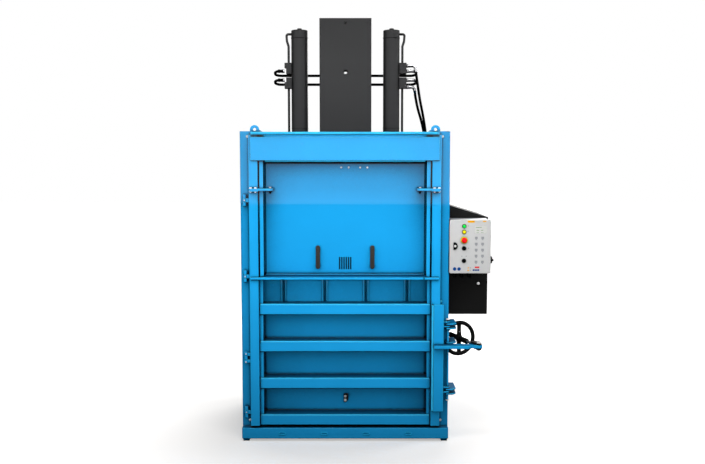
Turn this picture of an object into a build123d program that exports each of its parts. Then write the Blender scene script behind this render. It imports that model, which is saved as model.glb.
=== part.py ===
from build123d import *
import os
from math import cos, radians, sin, tan

# Vertical recycling baler. X runs to the right seen from the front, Y to the back and Z up, in
# millimetres. While the pieces are drawn, X is zero on the middle of the body, Y is zero on the
# front plane of the door and Z is zero on the floor. save() moves each piece to the part's frame.

# Body
body_width = 1476.0
body_depth = 1080.0
body_height = 2205.0
post_width = 138.0
skid_width = 45.0
skid_height = 18.0
skid_inset = 8.0
base_height = 77.0
base_rail = 24.0
base_rib = 16.0
base_radius = 10.0
base_edge = 4.0
floor_plate = 10.0
post_depth = 120.0
post_set_back = 45.0
post_wall = 8.0
post_cap = 6.0
post_radius = 10.0
sheet = 6.0
rib_height = 60.0
rib_wall = 6.0
rib_shares = (0.053, 0.178, 0.425, 0.575, 0.736)
rear_rib_depth = 80.0
top_frame_height = 120.0
top_rail = 98.0
top_wall = 8.0
top_front_beam = 100.0
top_rear_beam = 80.0

# Places of the body worked out from these
wall_outer = body_width / 2
chamber_width = body_width - 2 * post_width
post_x = (body_width - post_width) / 2
base_top = skid_height + base_height
top_frame_bottom = body_height - top_frame_height
wall_height = top_frame_bottom - base_top
rib_levels = [base_top + share * wall_height for share in rib_shares]
front_post_y = post_set_back + post_depth / 2
rear_post_y = body_depth - post_depth / 2
wall_front = post_set_back + post_depth
wall_back = body_depth - post_depth
wall_length = wall_back - wall_front
wall_middle = (wall_front + wall_back) / 2
ring_half = wall_outer - top_rail

# Straps: four lanes across the chamber
strap_lanes = 4
strap_pitch = chamber_width / strap_lanes
strap_span = strap_pitch * (strap_lanes - 1)
strap_xs = [strap_pitch * i - strap_span / 2 for i in range(strap_lanes)]
strap_slot = 16.0
outlet_width = 46.0
outlet_height = 18.0
outlet_level = skid_height + 36.0
rear_slot_length = 560.0

# Lifting lugs on the front posts
lug_x = wall_outer - 99.5
lug_radius = 33.0
lug_height = 45.0
lug_hole = 22.0
lug_flare = 22.0
lug_thickness = 18.0

# Press: cylinders, mast and press plate
press_y = 560.0
cylinder_x = 346.0
barrel_diameter = 125.0
barrel_bore = 105.0
barrel_bottom = top_frame_bottom - 285.0
barrel_top = body_height + 713.0
gland_height = 40.0
flange_diameter = 146.0
flange_height = 22.0
cap_height = 56.0
plug_diameter = 37.0
plug_height = 12.0
rod_diameter = 70.0
rod_top = top_frame_bottom - 5.0
piston_height = 36.0
rod_foot = 120.0
rod_foot_height = 20.0
carrier_depth = 260.0
carrier_top = body_height - 23.0
carrier_plate = 20.0
carrier_flange = 15.0
mast_width = 388.0
mast_depth = 146.0
mast_top = body_height + 850.0
mast_bottom = barrel_bottom
mast_wall = 8.0
mast_radius = 8.0
mast_hole = 30.0
mast_hole_level = body_height + 455.0
mast_screw_level = mast_top - 33.0
guide_gap = 6.0
guide_wall = 8.0
guide_top = body_height - 25.0
plate_gap = 10.0
plate_width = chamber_width - 2 * plate_gap
plate_front = press_y - 350.0
plate_depth = wall_back - plate_gap - plate_front
plate_bottom = 880.0
plate_height = 300.0
plate_wall = 12.0
plate_sole = 20.0
plate_slit = 10.0
plate_slit_mouth = 22.0
plate_channel = 34.0
plate_pocket = 156.0
sole_top = plate_bottom + plate_sole

# Hydraulic lines
pipe_diameter = 18.0
pipe_reach = 82.5
hose_diameter = 20.0
hose_lane = chamber_width / 2 + 23.0
block_depth = 60.0
block_width = 54.0
block_height = 82.0
block_sink = 4.0
block_step = 12.0
block_face = cylinder_x + barrel_diameter / 2 - block_sink + block_width
upper_block_level = barrel_top - 268.0
lower_block_level = upper_block_level - 109.0

# Door frame
door_half = wall_outer - 64.0
stile_width = 65.0
stile_inner = door_half - stile_width
stile_depth = 40.0
stile_radius = 8.0
door_bottom = base_top + 15.0
lip_bottom = body_height - 27.0
lip_height = 20.0
lip_half = door_half - 16.0
lip_front = 14.0
lip_radius = 12.0
header_top = lip_bottom - 15.0
header_bottom = header_top - 162.0
header_skin = 6.0
header_depth = 34.0
door_box_half = stile_inner - 19.0
door_web = 8.0
door_inner = 156.0
door_sheet = 6.0
bridge_front = 28.0
bridge_depth = 8.0
sill_bottom = 1165.0
sill_height = 16.0
sill_top = sill_bottom + sill_height
sill_left = door_half - 6.0
sill_right = door_half - 12.0
sill_front = 12.0
sill_back = 124.0
sill_notch_x = door_box_half - 34.5
sill_notch = 7.0
beam_front = 20.0
beam_half = stile_inner - 5.0
beam_height = 76.0
beam_radius = 8.0
beam_count = 4
beam_lowest = door_bottom + beam_height / 2 - 1.5
beam_highest = sill_bottom - 218.0
beam_pitch = (beam_highest - beam_lowest) / (beam_count - 1)
beam_levels = [beam_lowest + beam_pitch * i for i in range(beam_count)]
rail_inner = door_box_half - 17.0
rail_outer = door_box_half + 8.0
rail_front = 12.0
rail_skin = 6.0
rail_lip = 18.0
rail_lip_skin = 4.0
stop_width = 159.0
stop_x = door_half - 10.0 - stop_width
stop_level = header_bottom - 211.0
stop_plate = 16.0
stop_front = 30.0
stop_tongue = 55.0
stop_back = 112.0
stop_tab = 60.0
stop_bolt_places = (119.6, 153.0)
stop_bolt_depth = 12.0
cone_x = stop_x + 27.0
cone_y = 102.0
cone_top = 26.0
cone_tip = 10.0
cone_height = 24.0

# Gate
fit = 0.3
same_body_fit = 0.1
gate_bottom = sill_top + fit
gate_top = header_bottom + 19.0
gate_half = door_box_half - rail_skin - rail_lip - 2.0
gate_front = 125.0
gate_sheet = 4.0
gate_return = 15.0
gate_back = gate_front + gate_return
gate_tongue = rail_lip - 1.0
gate_lip = 30.0
gate_lip_height = 11.0
handle_x = 194.0
handle_length = 170.0
handle_width = 30.0
handle_reach = 40.0
handle_bar = 14.0
handle_level = sill_top + 131.0
vent_count = 6
vent_pitch = 16.0
vent_slot = 5.0
vent_height = 90.0
vent_level = sill_top + 85.0
rail_lip_front = gate_back - gate_sheet - fit - rail_lip_skin
rail_back = gate_back + fit + rail_lip_skin

# Hinges of the door
hinge_x = door_half + 30.0
hinge_y = 14.0
hinge_outer = 25.0
hinge_pin = 14.0
hinge_height = 88.0
hinge_mid = 27.0
hinge_gap = 0.5
hinge_cap = 8.0
hinge_levels = (door_bottom + 99.0, door_bottom + 493.0, sill_top + 5.0, header_bottom - 278.0)
hinge_reversed = (False, True, False, False)

# Lock bar, lever and screw spindle
lock_x = wall_outer - 11.0
lock_y = -5.0
lock_shaft = 16.0
lock_cap = 26.0
lock_cap_height = 8.0
lock_bottom = door_bottom + 115.0
lock_top = lock_bottom + 767.0
lock_right = lock_x - 33.0
lock_left = lock_right - 85.0
lock_front = 36.0
lock_skin = 6.0
lock_strip = 16.0
lock_strip_inset = 5.0
lock_back = 3.0
ear_plate = 10.0
ear_drop = 16.0
ear_radius = 17.0
arm_bottom = lock_bottom + 460.0
arm_plate = 22.0
arm_front = 77.0
bar_ear_levels = (lock_bottom + 134.0, lock_bottom + 167.0, lock_top - 163.0, lock_top - 131.0)
post_ear_levels = [level - ear_drop for level in bar_ear_levels] + [arm_bottom + arm_plate + 4.0]
post_ear_reach = 50.0
post_ear_corner = 28.0
lock_shaft_bottom = post_ear_levels[0] - 37.0
lock_shaft_top = bar_ear_levels[-1] + 2 * ear_plate
arm_end_x = lock_x + 215.5
arm_end_y = -38.0
arm_boss = 25.0
arm_pin = 16.0
arm_hub = 22.0
arm_taper = lock_x + 153.0
spindle_tilt = 20.57
spindle_length = 520.0
clevis_width = 40.0
clevis_jaw = 10.0
clevis_gap = 1.5
clevis_length = 84.0
clevis_root = 30.0
spindle_rod = 18.0
bellows_outer = 20.0
bellows_inner = 14.0
bellows_folds = 6
bellows_front = 172.0
bellows_back = 450.0
wheel_at = 299.0
wheel_radius = 118.5
wheel_rim = 12.0
wheel_hub = 25.0
wheel_hub_length = 52.0
wheel_spoke = 28.0
wheel_spoke_thick = 12.0
fork_eye = 12.0
fork_height = 44.0
fork_plate = 10.0
fork_gap = 1.0
fork_width = 50.0
spindle_axis = Vector(-sin(radians(spindle_tilt)), cos(radians(spindle_tilt)), 0)
arm_level = arm_bottom + arm_plate / 2
arm_end = Vector(arm_end_x, arm_end_y, arm_level)
fork_centre = arm_end + spindle_axis * spindle_length
spindle_plane = Plane(origin=arm_end, x_dir=spindle_axis, z_dir=(0, 0, 1))
spindle_line = Axis(arm_end, spindle_axis)

# Power pack and control box on the right side
pack_front = 266.0
pack_corner = 6.0
pack_depth = 534.0
pack_right = wall_outer + 307.0
pack_bottom = 871.0
pack_roof_left = pack_bottom + 811.0
pack_roof_right = pack_bottom + 717.0
pack_wall = 4.0
box_width = 292.0
box_height = 380.0
box_right = wall_outer + box_width
box_front = 40.0
box_bottom = pack_bottom + 332.0
box_top = box_bottom + box_height
box_radius = 12.0
box_wall = 4.0
pack_cover_sheet = 4.0
pack_cover_bottom = pack_bottom + 4.0
pack_cover_top = box_bottom - 7.0
pack_cover_margin = 6.0
pack_lock_x = wall_outer + 240.0
pack_lock_level = pack_cover_top - 96.0
pack_lock_diameter = 22.0
pack_lock_ring = 40.0
cover_depth = 15.5
cover_gap = 0.5
button_x = wall_outer + 103.0
button_levels = (box_top - 44.5, box_top - 85.0, box_top - 201.5, box_top - 290.0)
button_names = ("green_button", "yellow_button", "raise_button", "lower_button")
button_diameter = 24.4
bezel_diameter = 31.0
bezel_height = 4.0
button_front = 9.0
button_depth = 13.0
pocket_depth = 9.0
stop_button_level = box_top - 143.5
stop_head = 39.0
stop_collar_diameter = 51.0
stop_stem = 20.0
stop_reach = 28.0
stop_head_height = 13.0
latch_level = box_top - 185.0
latch_x = wall_outer + 43.0
latch_width = 28.0
latch_height = 52.0
latch_plate = 6.0
latch_core = 18.0
switch_y = box_front + 72.0
switch_level = box_bottom + 89.0
switch_disc = 52.0
switch_disc_height = 8.0
switch_grip = 14.0
switch_reach = 30.0

# Shift from the drawing places to the part's frame
frame_x = (box_right + switch_reach - wall_outer) / 2
frame_y = (body_depth - arm_front) / 2


def facing(y):
    """A plane that faces the front at depth y; extruding from it comes forward."""
    return Plane.XZ.offset(-y)


def save(name, shape):
    placed = shape.moved(Location((-frame_x, -frame_y, 0)))
    placed.label = name
    export_step(placed, f"parts/{name}.step")


os.makedirs("parts", exist_ok=True)

# Skids: two flat bars under the base, front to back
with BuildPart() as skids:
    with BuildSketch():
        with GridLocations(body_width - skid_width - 2 * skid_inset, 0, 2, 1):
            with Locations((0, body_depth / 2)):
                RectangleRounded(skid_width, body_depth - 2 * skid_inset, 4)
    extrude(amount=skid_height)
save("skids", skids.part)

# Base frame: a shallow welded tray whose top plate is the chamber floor. Straps leave through the
# rounded outlets in front, and run in slots along the floor.
bay_width = (body_width - 2 * base_rail - 2 * base_rib) / 3
bay_depth = body_depth - 2 * base_rail
with BuildPart() as base_frame:
    with BuildSketch(Plane.XY.offset(skid_height)):
        with Locations((0, body_depth / 2)):
            RectangleRounded(body_width, body_depth, base_radius)
    extrude(amount=base_height)
    fillet(base_frame.faces().sort_by(Axis.Z)[-1].edges(), base_edge)
    with BuildSketch(Plane.XY.offset(skid_height)):
        with Locations((0, body_depth / 2)):
            with GridLocations(bay_width + base_rib, 0, 3, 1):
                Rectangle(bay_width, bay_depth)
    extrude(amount=base_height - floor_plate, mode=Mode.SUBTRACT)
    with BuildSketch(facing(base_rail)):
        for x in strap_xs:
            with Locations((x, outlet_level)):
                SlotOverall(outlet_width, outlet_height)
    extrude(amount=base_rail, mode=Mode.SUBTRACT)
    with BuildSketch(Plane.XY.offset(base_top)):
        for x in strap_xs:
            with Locations((x, (door_inner + wall_back) / 2)):
                SlotOverall(wall_back - door_inner - 4 * strap_slot, strap_slot, rotation=90)
    extrude(amount=-floor_plate, mode=Mode.SUBTRACT)
save("base_frame", base_frame.part)

# Posts: four rectangular tubes, capped at the top
post_spots = [(x, y) for x in (-post_x, post_x) for y in (front_post_y, rear_post_y)]
with BuildPart() as posts:
    with BuildSketch(Plane.XY.offset(base_top)):
        with Locations(*post_spots):
            RectangleRounded(post_width, post_depth, post_radius)
    extrude(amount=body_height - base_top)
    with BuildSketch(Plane.XY.offset(base_top)):
        with Locations(*post_spots):
            Rectangle(post_width - 2 * post_wall, post_depth - 2 * post_wall)
    extrude(amount=body_height - base_top - post_cap, mode=Mode.SUBTRACT)
save("posts", posts.part)

# Lifting lugs: plates on the front posts, flared towards the middle
with BuildPart() as lifting_lugs:
    with BuildSketch(facing(front_post_y + lug_thickness / 2)):
        with BuildLine():
            eye_level = body_height + lug_height - lug_radius
            outer = Line((lug_x + lug_radius, body_height), (lug_x + lug_radius, eye_level))
            crown = ThreePointArc(outer @ 1, (lug_x, eye_level + lug_radius), (lug_x - lug_radius, eye_level))
            foot = Line(crown @ 1, (lug_x - lug_radius - lug_flare, body_height))
            Line(foot @ 1, outer @ 0)
        make_face()
        with Locations((lug_x, body_height + lug_height / 3)):
            Circle(lug_hole / 2, mode=Mode.SUBTRACT)
    extrude(amount=lug_thickness)
    mirror(about=Plane.YZ)
save("lifting_lugs", lifting_lugs.part)

# Side walls: plain sheets between the posts
with BuildPart() as side_walls:
    with BuildSketch(Plane.XY.offset(base_top)):
        with GridLocations(chamber_width + sheet, 0, 2, 1):
            with Locations((0, wall_middle)):
                Rectangle(sheet, wall_length)
    extrude(amount=top_frame_bottom - base_top)
save("side_walls", side_walls.part)

# Rear wall: a sheet with four upright strap slots that start above the floor
with BuildPart() as rear_wall:
    with BuildSketch(facing(wall_back + sheet)):
        with Locations((0, (base_top + top_frame_bottom) / 2)):
            Rectangle(chamber_width, top_frame_bottom - base_top)
        for x in strap_xs:
            with Locations((x, base_top + strap_slot + rear_slot_length / 2)):
                SlotOverall(rear_slot_length, strap_slot, rotation=90, mode=Mode.SUBTRACT)
    extrude(amount=sheet)
save("rear_wall", rear_wall.part)

# Ribs: folded channels welded across the outside of the side and rear walls
rib_depth = wall_outer - chamber_width / 2 - sheet
with BuildPart() as wall_ribs:
    with BuildSketch(facing(wall_back)):
        for level in rib_levels:
            for side in (-1, 1):
                with Locations((side * (wall_outer - rib_depth / 2), level)):
                    Rectangle(rib_depth, rib_height)
                with Locations((side * (wall_outer - rib_depth / 2 - rib_wall / 2), level)):
                    Rectangle(rib_depth - rib_wall, rib_height - 2 * rib_wall, mode=Mode.SUBTRACT)
    extrude(amount=wall_length)
    rear_rib_middle = wall_back + sheet + rear_rib_depth / 2
    with BuildSketch(Plane.YZ.offset(-chamber_width / 2)):
        for level in rib_levels:
            with Locations((rear_rib_middle, level)):
                Rectangle(rear_rib_depth, rib_height)
            with Locations((rear_rib_middle - rib_wall / 2, level)):
                Rectangle(rear_rib_depth - rib_wall, rib_height - 2 * rib_wall, mode=Mode.SUBTRACT)
    extrude(amount=chamber_width)
save("wall_ribs", wall_ribs.part)

# Top rails: channels, open below, from the front posts to the rear posts
with BuildPart() as top_rails:
    with BuildSketch(facing(wall_back)):
        for side in (-1, 1):
            with Locations((side * (wall_outer - top_rail / 2), body_height - top_frame_height / 2)):
                Rectangle(top_rail, top_frame_height)
            with Locations((side * (wall_outer - top_rail / 2), body_height - top_frame_height / 2 - top_wall / 2)):
                Rectangle(top_rail - 2 * top_wall, top_frame_height - top_wall, mode=Mode.SUBTRACT)
    extrude(amount=wall_length)
save("top_rails", top_rails.part)

# Cross beams between the rails: front, rear, and the wide one that carries cylinders and mast
beam_rows = ((wall_front + top_front_beam / 2, top_front_beam, body_height, top_wall),
             (wall_back - top_rear_beam / 2, top_rear_beam, body_height, top_wall),
             (press_y, carrier_depth, carrier_top, carrier_plate))
with BuildPart() as top_beams:
    for y, depth, top, thick in beam_rows:
        with BuildSketch(Plane.YZ.offset(-ring_half)):
            with Locations((y, (top + top_frame_bottom) / 2)):
                Rectangle(depth, top - top_frame_bottom)
            with Locations((y, (top + top_frame_bottom - thick) / 2)):
                Rectangle(depth - 2 * carrier_flange, top - top_frame_bottom - thick, mode=Mode.SUBTRACT)
        extrude(amount=2 * ring_half)
    with BuildSketch(Plane.XY.offset(carrier_top)):
        with GridLocations(2 * cylinder_x, 0, 2, 1):
            with Locations((0, press_y)):
                Circle(barrel_diameter / 2 + same_body_fit)
        with GridLocations(2 * (cylinder_x + pipe_reach), 0, 2, 1):
            with Locations((0, press_y)):
                Circle(pipe_diameter / 2 + same_body_fit)
        with Locations((0, press_y)):
            RectangleRounded(mast_width + 2 * same_body_fit, mast_depth + 2 * same_body_fit, mast_radius)
    extrude(amount=-carrier_plate, mode=Mode.SUBTRACT)
save("top_beams", top_beams.part)

# Guide mast: a tall closed tube with a cross hole for lifting it; the guide beam runs inside
with BuildPart() as guide_mast:
    with BuildSketch(Plane.XY.offset(mast_bottom)):
        with Locations((0, press_y)):
            RectangleRounded(mast_width, mast_depth, mast_radius)
    extrude(amount=mast_top - mast_bottom)
    with BuildSketch(Plane.XY.offset(mast_bottom)):
        with Locations((0, press_y)):
            Rectangle(mast_width - 2 * mast_wall, mast_depth - 2 * mast_wall)
    extrude(amount=mast_top - mast_bottom - mast_wall, mode=Mode.SUBTRACT)
    with BuildSketch(facing(press_y + mast_depth / 2)):
        with Locations((0, mast_hole_level)):
            Circle(mast_hole / 2)
    extrude(amount=mast_depth, mode=Mode.SUBTRACT)
save("guide_mast", guide_mast.part)

# Cylinder barrels with a mounting flange above the carrier and a gland at the lower end
with BuildPart() as cylinder_barrels:
    with BuildSketch(Plane.XY.offset(barrel_bottom)):
        with GridLocations(2 * cylinder_x, 0, 2, 1):
            with Locations((0, press_y)):
                Circle(barrel_diameter / 2)
    extrude(amount=barrel_top - barrel_bottom)
    with BuildSketch(Plane.XY.offset(carrier_top)):
        with GridLocations(2 * cylinder_x, 0, 2, 1):
            with Locations((0, press_y)):
                Circle(flange_diameter / 2)
    extrude(amount=flange_height)
    with BuildSketch(Plane.XY.offset(barrel_bottom)):
        with GridLocations(2 * cylinder_x, 0, 2, 1):
            with Locations((0, press_y)):
                Circle(rod_diameter / 2 + fit)
    extrude(amount=gland_height, mode=Mode.SUBTRACT)
    with BuildSketch(Plane.XY.offset(barrel_bottom + gland_height)):
        with GridLocations(2 * cylinder_x, 0, 2, 1):
            with Locations((0, press_y)):
                Circle(barrel_bore / 2)
    extrude(amount=barrel_top - barrel_bottom - gland_height, mode=Mode.SUBTRACT)
save("cylinder_barrels", cylinder_barrels.part)

# Cylinder caps with a round plug on top
with BuildPart() as cylinder_caps:
    with BuildSketch(Plane.XY.offset(barrel_top)):
        with GridLocations(2 * cylinder_x, 0, 2, 1):
            with Locations((0, press_y)):
                Circle(barrel_diameter / 2)
    extrude(amount=cap_height)
    fillet(cylinder_caps.faces().group_by(Axis.Z)[-1].edges(), 5)
    chamfer(cylinder_caps.faces().group_by(Axis.Z)[0].edges(), 1.5)
    with BuildSketch(Plane.XY.offset(barrel_top + cap_height)):
        with GridLocations(2 * cylinder_x, 0, 2, 1):
            with Locations((0, press_y)):
                Circle(plug_diameter / 2)
    extrude(amount=plug_height)
    fillet(cylinder_caps.faces().group_by(Axis.Z)[-1].edges(), 4)
save("cylinder_caps", cylinder_caps.part)

# Port blocks beside each barrel; on the left the outer face is stepped
with BuildPart() as port_blocks:
    block_mid = block_face - block_width / 2
    for level in (lower_block_level, upper_block_level):
        with BuildSketch(Plane.XY.offset(level)):
            with GridLocations(2 * block_mid, 0, 2, 1):
                with Locations((0, press_y)):
                    Rectangle(block_width, block_depth)
        extrude(amount=block_height)
    for level in (upper_block_level, lower_block_level + block_height * 0.58):
        with BuildSketch(Plane.XY.offset(level)):
            with Locations((-block_face + block_step / 2, press_y)):
                Rectangle(block_step, block_depth)
        height = block_height * (0.55 if level == upper_block_level else 0.42)
        extrude(amount=height, mode=Mode.SUBTRACT)
    with BuildSketch(Plane.XY.offset(lower_block_level)):
        with GridLocations(2 * cylinder_x, 0, 2, 1):
            with Locations((0, press_y)):
                Circle(barrel_diameter / 2 + same_body_fit)
    extrude(amount=upper_block_level + block_height - lower_block_level, mode=Mode.SUBTRACT)
save("port_blocks", port_blocks.part)

# Steel pipes: from each cap round into the upper block, and from the lower block down to the gland
pipe_x = cylinder_x + pipe_reach
cap_port = barrel_top + cap_height / 2
gland_port = barrel_bottom + gland_height / 2
barrel_side = cylinder_x + barrel_diameter / 2
with BuildPart() as cylinder_pipes:
    with BuildLine(facing(press_y)) as swan_neck:
        FilletPolyline(
            (barrel_side + same_body_fit, cap_port),
            (pipe_x + 16, cap_port),
            (pipe_x + 12, cap_port - 52),
            (pipe_x, cap_port - 90),
            (pipe_x, upper_block_level + block_height),
            radius=14,
        )
    with BuildSketch(Plane(swan_neck.line @ 0, z_dir=swan_neck.line % 0)):
        Circle(pipe_diameter / 2)
    sweep(path=swan_neck.line)
    with BuildLine(facing(press_y)) as down_pipe:
        FilletPolyline(
            (pipe_x, lower_block_level),
            (pipe_x, gland_port),
            (barrel_side + same_body_fit, gland_port),
            radius=10,
        )
    with BuildSketch(Plane(down_pipe.line @ 0, z_dir=down_pipe.line % 0)):
        Circle(pipe_diameter / 2)
    sweep(path=down_pipe.line)
    mirror(about=Plane.YZ)
save("cylinder_pipes", cylinder_pipes.part)

# Hose fittings: a hexagon nut and a round sleeve at each port, and a ring where a hose enters the pack
fitting_nut = 13.0
fitting_length = 28.0
hose_start = block_face + fitting_length
cross_levels = (upper_block_level + 22, lower_block_level + 64)
supply_levels = (upper_block_level + 62, lower_block_level + 12)
entry_level = pack_roof_left - 42
supply_entry = ((press_y + 140, entry_level), (press_y + 175, entry_level))
fitting_spots = [(side, level) for level in cross_levels for side in (-1, 1)]
fitting_spots += [(1, level) for level in supply_levels]
with BuildPart() as hose_fittings:
    for side, level in fitting_spots:
        with BuildSketch(Plane.YZ.offset(side * block_face)):
            with Locations((press_y, level)):
                RegularPolygon(fitting_nut, 6)
        extrude(amount=side * fitting_length / 2)
        with BuildSketch(Plane.YZ.offset(side * (block_face + fitting_length / 2))):
            with Locations((press_y, level)):
                Circle(hose_diameter / 2 + 1.5)
        extrude(amount=side * fitting_length / 2)
    for y, z in supply_entry:
        with BuildSketch(Plane.YZ.offset(wall_outer)):
            with Locations((y, z)):
                Circle(hose_diameter / 2 + 4)
                Circle(hose_diameter / 2 + same_body_fit, mode=Mode.SUBTRACT)
        extrude(amount=-6)
save("hose_fittings", hose_fittings.part)


def route_radii(points):
    """The largest bend radius that fits each corner of a route."""
    radii = []
    for before, corner, after in zip(points, points[1:], points[2:]):
        first = Vector(*corner) - Vector(*before)
        second = Vector(*after) - Vector(*corner)
        shorter = min(first.length, second.length)
        radii.append(0.45 * shorter / tan(radians(first.get_angle(second) / 2)))
    return radii


# Cross hoses: they join the two cylinders, out from each block and round behind the mast
hose_back = press_y + 108
hose_side = hose_start + 47.5
with BuildPart() as cross_hoses:
    for level in cross_levels:
        drop = level - 24
        turn = [(hose_start, press_y, level), (hose_side - 24, press_y, level),
                (hose_side, press_y + 24, level - 6), (hose_side + 3, hose_back - 28, drop + 6),
                (hose_side - 24, hose_back, drop)]
        route = [(-x, y, z) for x, y, z in turn] + turn[::-1]
        radii = route_radii(route)
        print("cross hose bends", [round(r, 1) for r in radii])
        with BuildLine() as run:
            FilletPolyline(*route, radius=radii)
        with BuildSketch(Plane(run.line @ 0, z_dir=run.line % 0)):
            Circle(hose_diameter / 2)
        sweep(path=run.line)
save("cross_hoses", cross_hoses.part)

# Supply hoses: from the right-hand blocks down between side wall and rail, then into the pack
front_route = [
    (hose_start, press_y, supply_levels[0]),
    (hose_start + 27, press_y, supply_levels[0]),
    (hose_start + 41, press_y - 12, supply_levels[0] - 22),
    (hose_start + 47, press_y - 24, supply_levels[0] - 77),
    (hose_lane - 61, press_y + 15, body_height + 260),
    (hose_lane - 27, press_y + 80, body_height + 130),
    (hose_lane - 2, press_y + 140, body_height + 5),
    (hose_lane, press_y + 146, top_frame_bottom - 5),
    (hose_lane, press_y + 146, top_frame_bottom - 155),
    (hose_lane + 1, press_y + 144, entry_level + 150),
    (hose_lane + 9, press_y + 142, entry_level + 52),
    (hose_lane + 45, press_y + 140, entry_level),
    (wall_outer, press_y + 140, entry_level),
]
back_route = [
    (hose_start, press_y, supply_levels[1]),
    (hose_start + 25, press_y, supply_levels[1]),
    (hose_start + 37, press_y + 8, supply_levels[1] - 21),
    (hose_start + 42, press_y + 23, supply_levels[1] - 61),
    (hose_lane - 73, press_y + 80, body_height + 200),
    (hose_lane - 37, press_y + 140, body_height + 101),
    (hose_lane - 12, press_y + 176, body_height + 5),
    (hose_lane - 1, press_y + 182, top_frame_bottom - 5),
    (hose_lane, press_y + 182, top_frame_bottom - 155),
    (hose_lane + 1, press_y + 179, entry_level + 150),
    (hose_lane + 9, press_y + 177, entry_level + 52),
    (hose_lane + 45, press_y + 175, entry_level),
    (wall_outer, press_y + 175, entry_level),
]
with BuildPart() as supply_hoses:
    for route in (front_route, back_route):
        radii = route_radii(route)
        print("supply hose bends", [round(r, 1) for r in radii])
        with BuildLine() as run:
            FilletPolyline(*route, radius=radii)
        with BuildSketch(Plane(run.line @ 0, z_dir=run.line % 0)):
            Circle(hose_diameter / 2)
        sweep(path=run.line)
save("supply_hoses", supply_hoses.part)

# Screws on the posts beside the door, and one near the top of the mast
frame_screw_spots = [(x, z) for x in (54 - wall_outer, wall_outer - 54) for z in (base_top + 46, body_height - 37)]
frame_screw_spots.append((wall_outer - 56, lock_top + 11))
screw_head = 7.0
screw_height = 8.0
with BuildPart() as frame_screws:
    with BuildSketch(facing(post_set_back)):
        with Locations(*frame_screw_spots):
            Circle(screw_head)
    extrude(amount=screw_height)
    with BuildSketch(facing(press_y - mast_depth / 2)):
        with Locations((0, mast_screw_level)):
            Circle(screw_head)
    extrude(amount=screw_height)
    chamfer(frame_screws.faces().filter_by(Axis.Y).sort_by(Axis.Y)[0:5].edges(), 1)
save("frame_screws", frame_screws.part)

# Hinges: each has three knuckles on one pin with a rounded cap at either end. The fixed knuckles
# stand off the post; on the reversed hinge the door carries the outer two.
knuckle_end = hinge_height / 2 - hinge_cap
knuckle_height = knuckle_end - hinge_mid / 2 - hinge_gap
with BuildPart() as hinge_bodies:
    for level, turned in zip(hinge_levels, hinge_reversed):
        outer_rows = [(level - knuckle_end, knuckle_height), (level + knuckle_end - knuckle_height, knuckle_height)]
        rows = [(level - hinge_mid / 2, hinge_mid)] if turned else outer_rows
        for low, height in rows:
            with BuildSketch(Plane.XY.offset(low)):
                with Locations((-hinge_x, hinge_y)):
                    Circle(hinge_outer / 2)
                with Locations((-hinge_x, (hinge_y + post_set_back) / 2)):
                    Rectangle(hinge_outer, post_set_back - hinge_y)
            extrude(amount=height)
        with BuildSketch(Plane.XY.offset(level - knuckle_end)):
            with Locations((-hinge_x, hinge_y)):
                Circle(hinge_pin / 2)
        extrude(amount=2 * knuckle_end)
        for end, way in ((level - knuckle_end, -1), (level + knuckle_end, 1)):
            with BuildSketch(Plane.XY.offset(end)):
                with Locations((-hinge_x, hinge_y)):
                    Circle(hinge_outer / 2)
            extrude(amount=way * hinge_cap)
            tip = hinge_bodies.faces().filter_by(lambda f: abs(f.center().Z - end - way * hinge_cap) < 0.01)
            fillet(tip.edges(), hinge_cap * 0.9)
save("hinge_bodies", hinge_bodies.part)

with BuildPart() as hinge_knuckles:
    for level, turned in zip(hinge_levels, hinge_reversed):
        outer_rows = [(level - knuckle_end, knuckle_height), (level + knuckle_end - knuckle_height, knuckle_height)]
        rows = outer_rows if turned else [(level - hinge_mid / 2, hinge_mid)]
        for low, height in rows:
            with BuildSketch(Plane.XY.offset(low)):
                with Locations((-hinge_x, hinge_y)):
                    Circle(hinge_outer / 2)
                with Locations((-(hinge_x + door_half) / 2, hinge_y)):
                    Rectangle(hinge_x - door_half, hinge_outer / 2)
                with Locations((-hinge_x, hinge_y)):
                    Circle(hinge_pin / 2 + fit, mode=Mode.SUBTRACT)
            extrude(amount=height)
save("hinge_knuckles", hinge_knuckles.part)

# Lock ears: plates that reach round the right-hand post and hold the shaft of the lock bar
ear_right = wall_outer + post_ear_reach
with BuildPart() as lock_ears:
    for level in post_ear_levels:
        with BuildSketch(Plane.XY.offset(level)):
            with BuildLine():
                Polyline(
                    (wall_outer, wall_front - post_wall),
                    (ear_right, wall_front - post_wall),
                    (ear_right, lock_y + post_ear_corner - ear_radius),
                    (ear_right - post_ear_corner, lock_y - ear_radius),
                    (lock_x - ear_radius / 2, lock_y - ear_radius),
                    (lock_x - ear_radius, lock_y - ear_radius / 2),
                    (lock_x - ear_radius, post_set_back),
                    (wall_outer, post_set_back),
                    close=True,
                )
            make_face()
            with Locations((lock_x, lock_y)):
                Circle(lock_shaft / 2 + fit, mode=Mode.SUBTRACT)
        extrude(amount=ear_plate)
    upright = lock_ears.edges().filter_by(Axis.Z)
    fillet(upright.filter_by(lambda e: abs(e.center().X - ear_right) < 1 and e.center().Y < post_set_back), post_ear_corner / 2)
save("lock_ears", lock_ears.part)

# Fork on the right-hand side wall, for the far end of the screw spindle
wall_face = chamber_width / 2 + sheet
fork_inner = fork_height / 2 + fork_gap
with BuildPart() as spindle_fork:
    for low in (arm_level - fork_inner - fork_plate, arm_level + fork_inner):
        with BuildSketch(Plane.XY.offset(low)):
            with Locations(((wall_face + fork_centre.X) / 2, fork_centre.Y)):
                Rectangle(fork_centre.X - wall_face, fork_width)
            with Locations((fork_centre.X, fork_centre.Y)):
                Circle(fork_width / 2)
        extrude(amount=fork_plate)
save("spindle_fork", spindle_fork.part)

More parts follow.
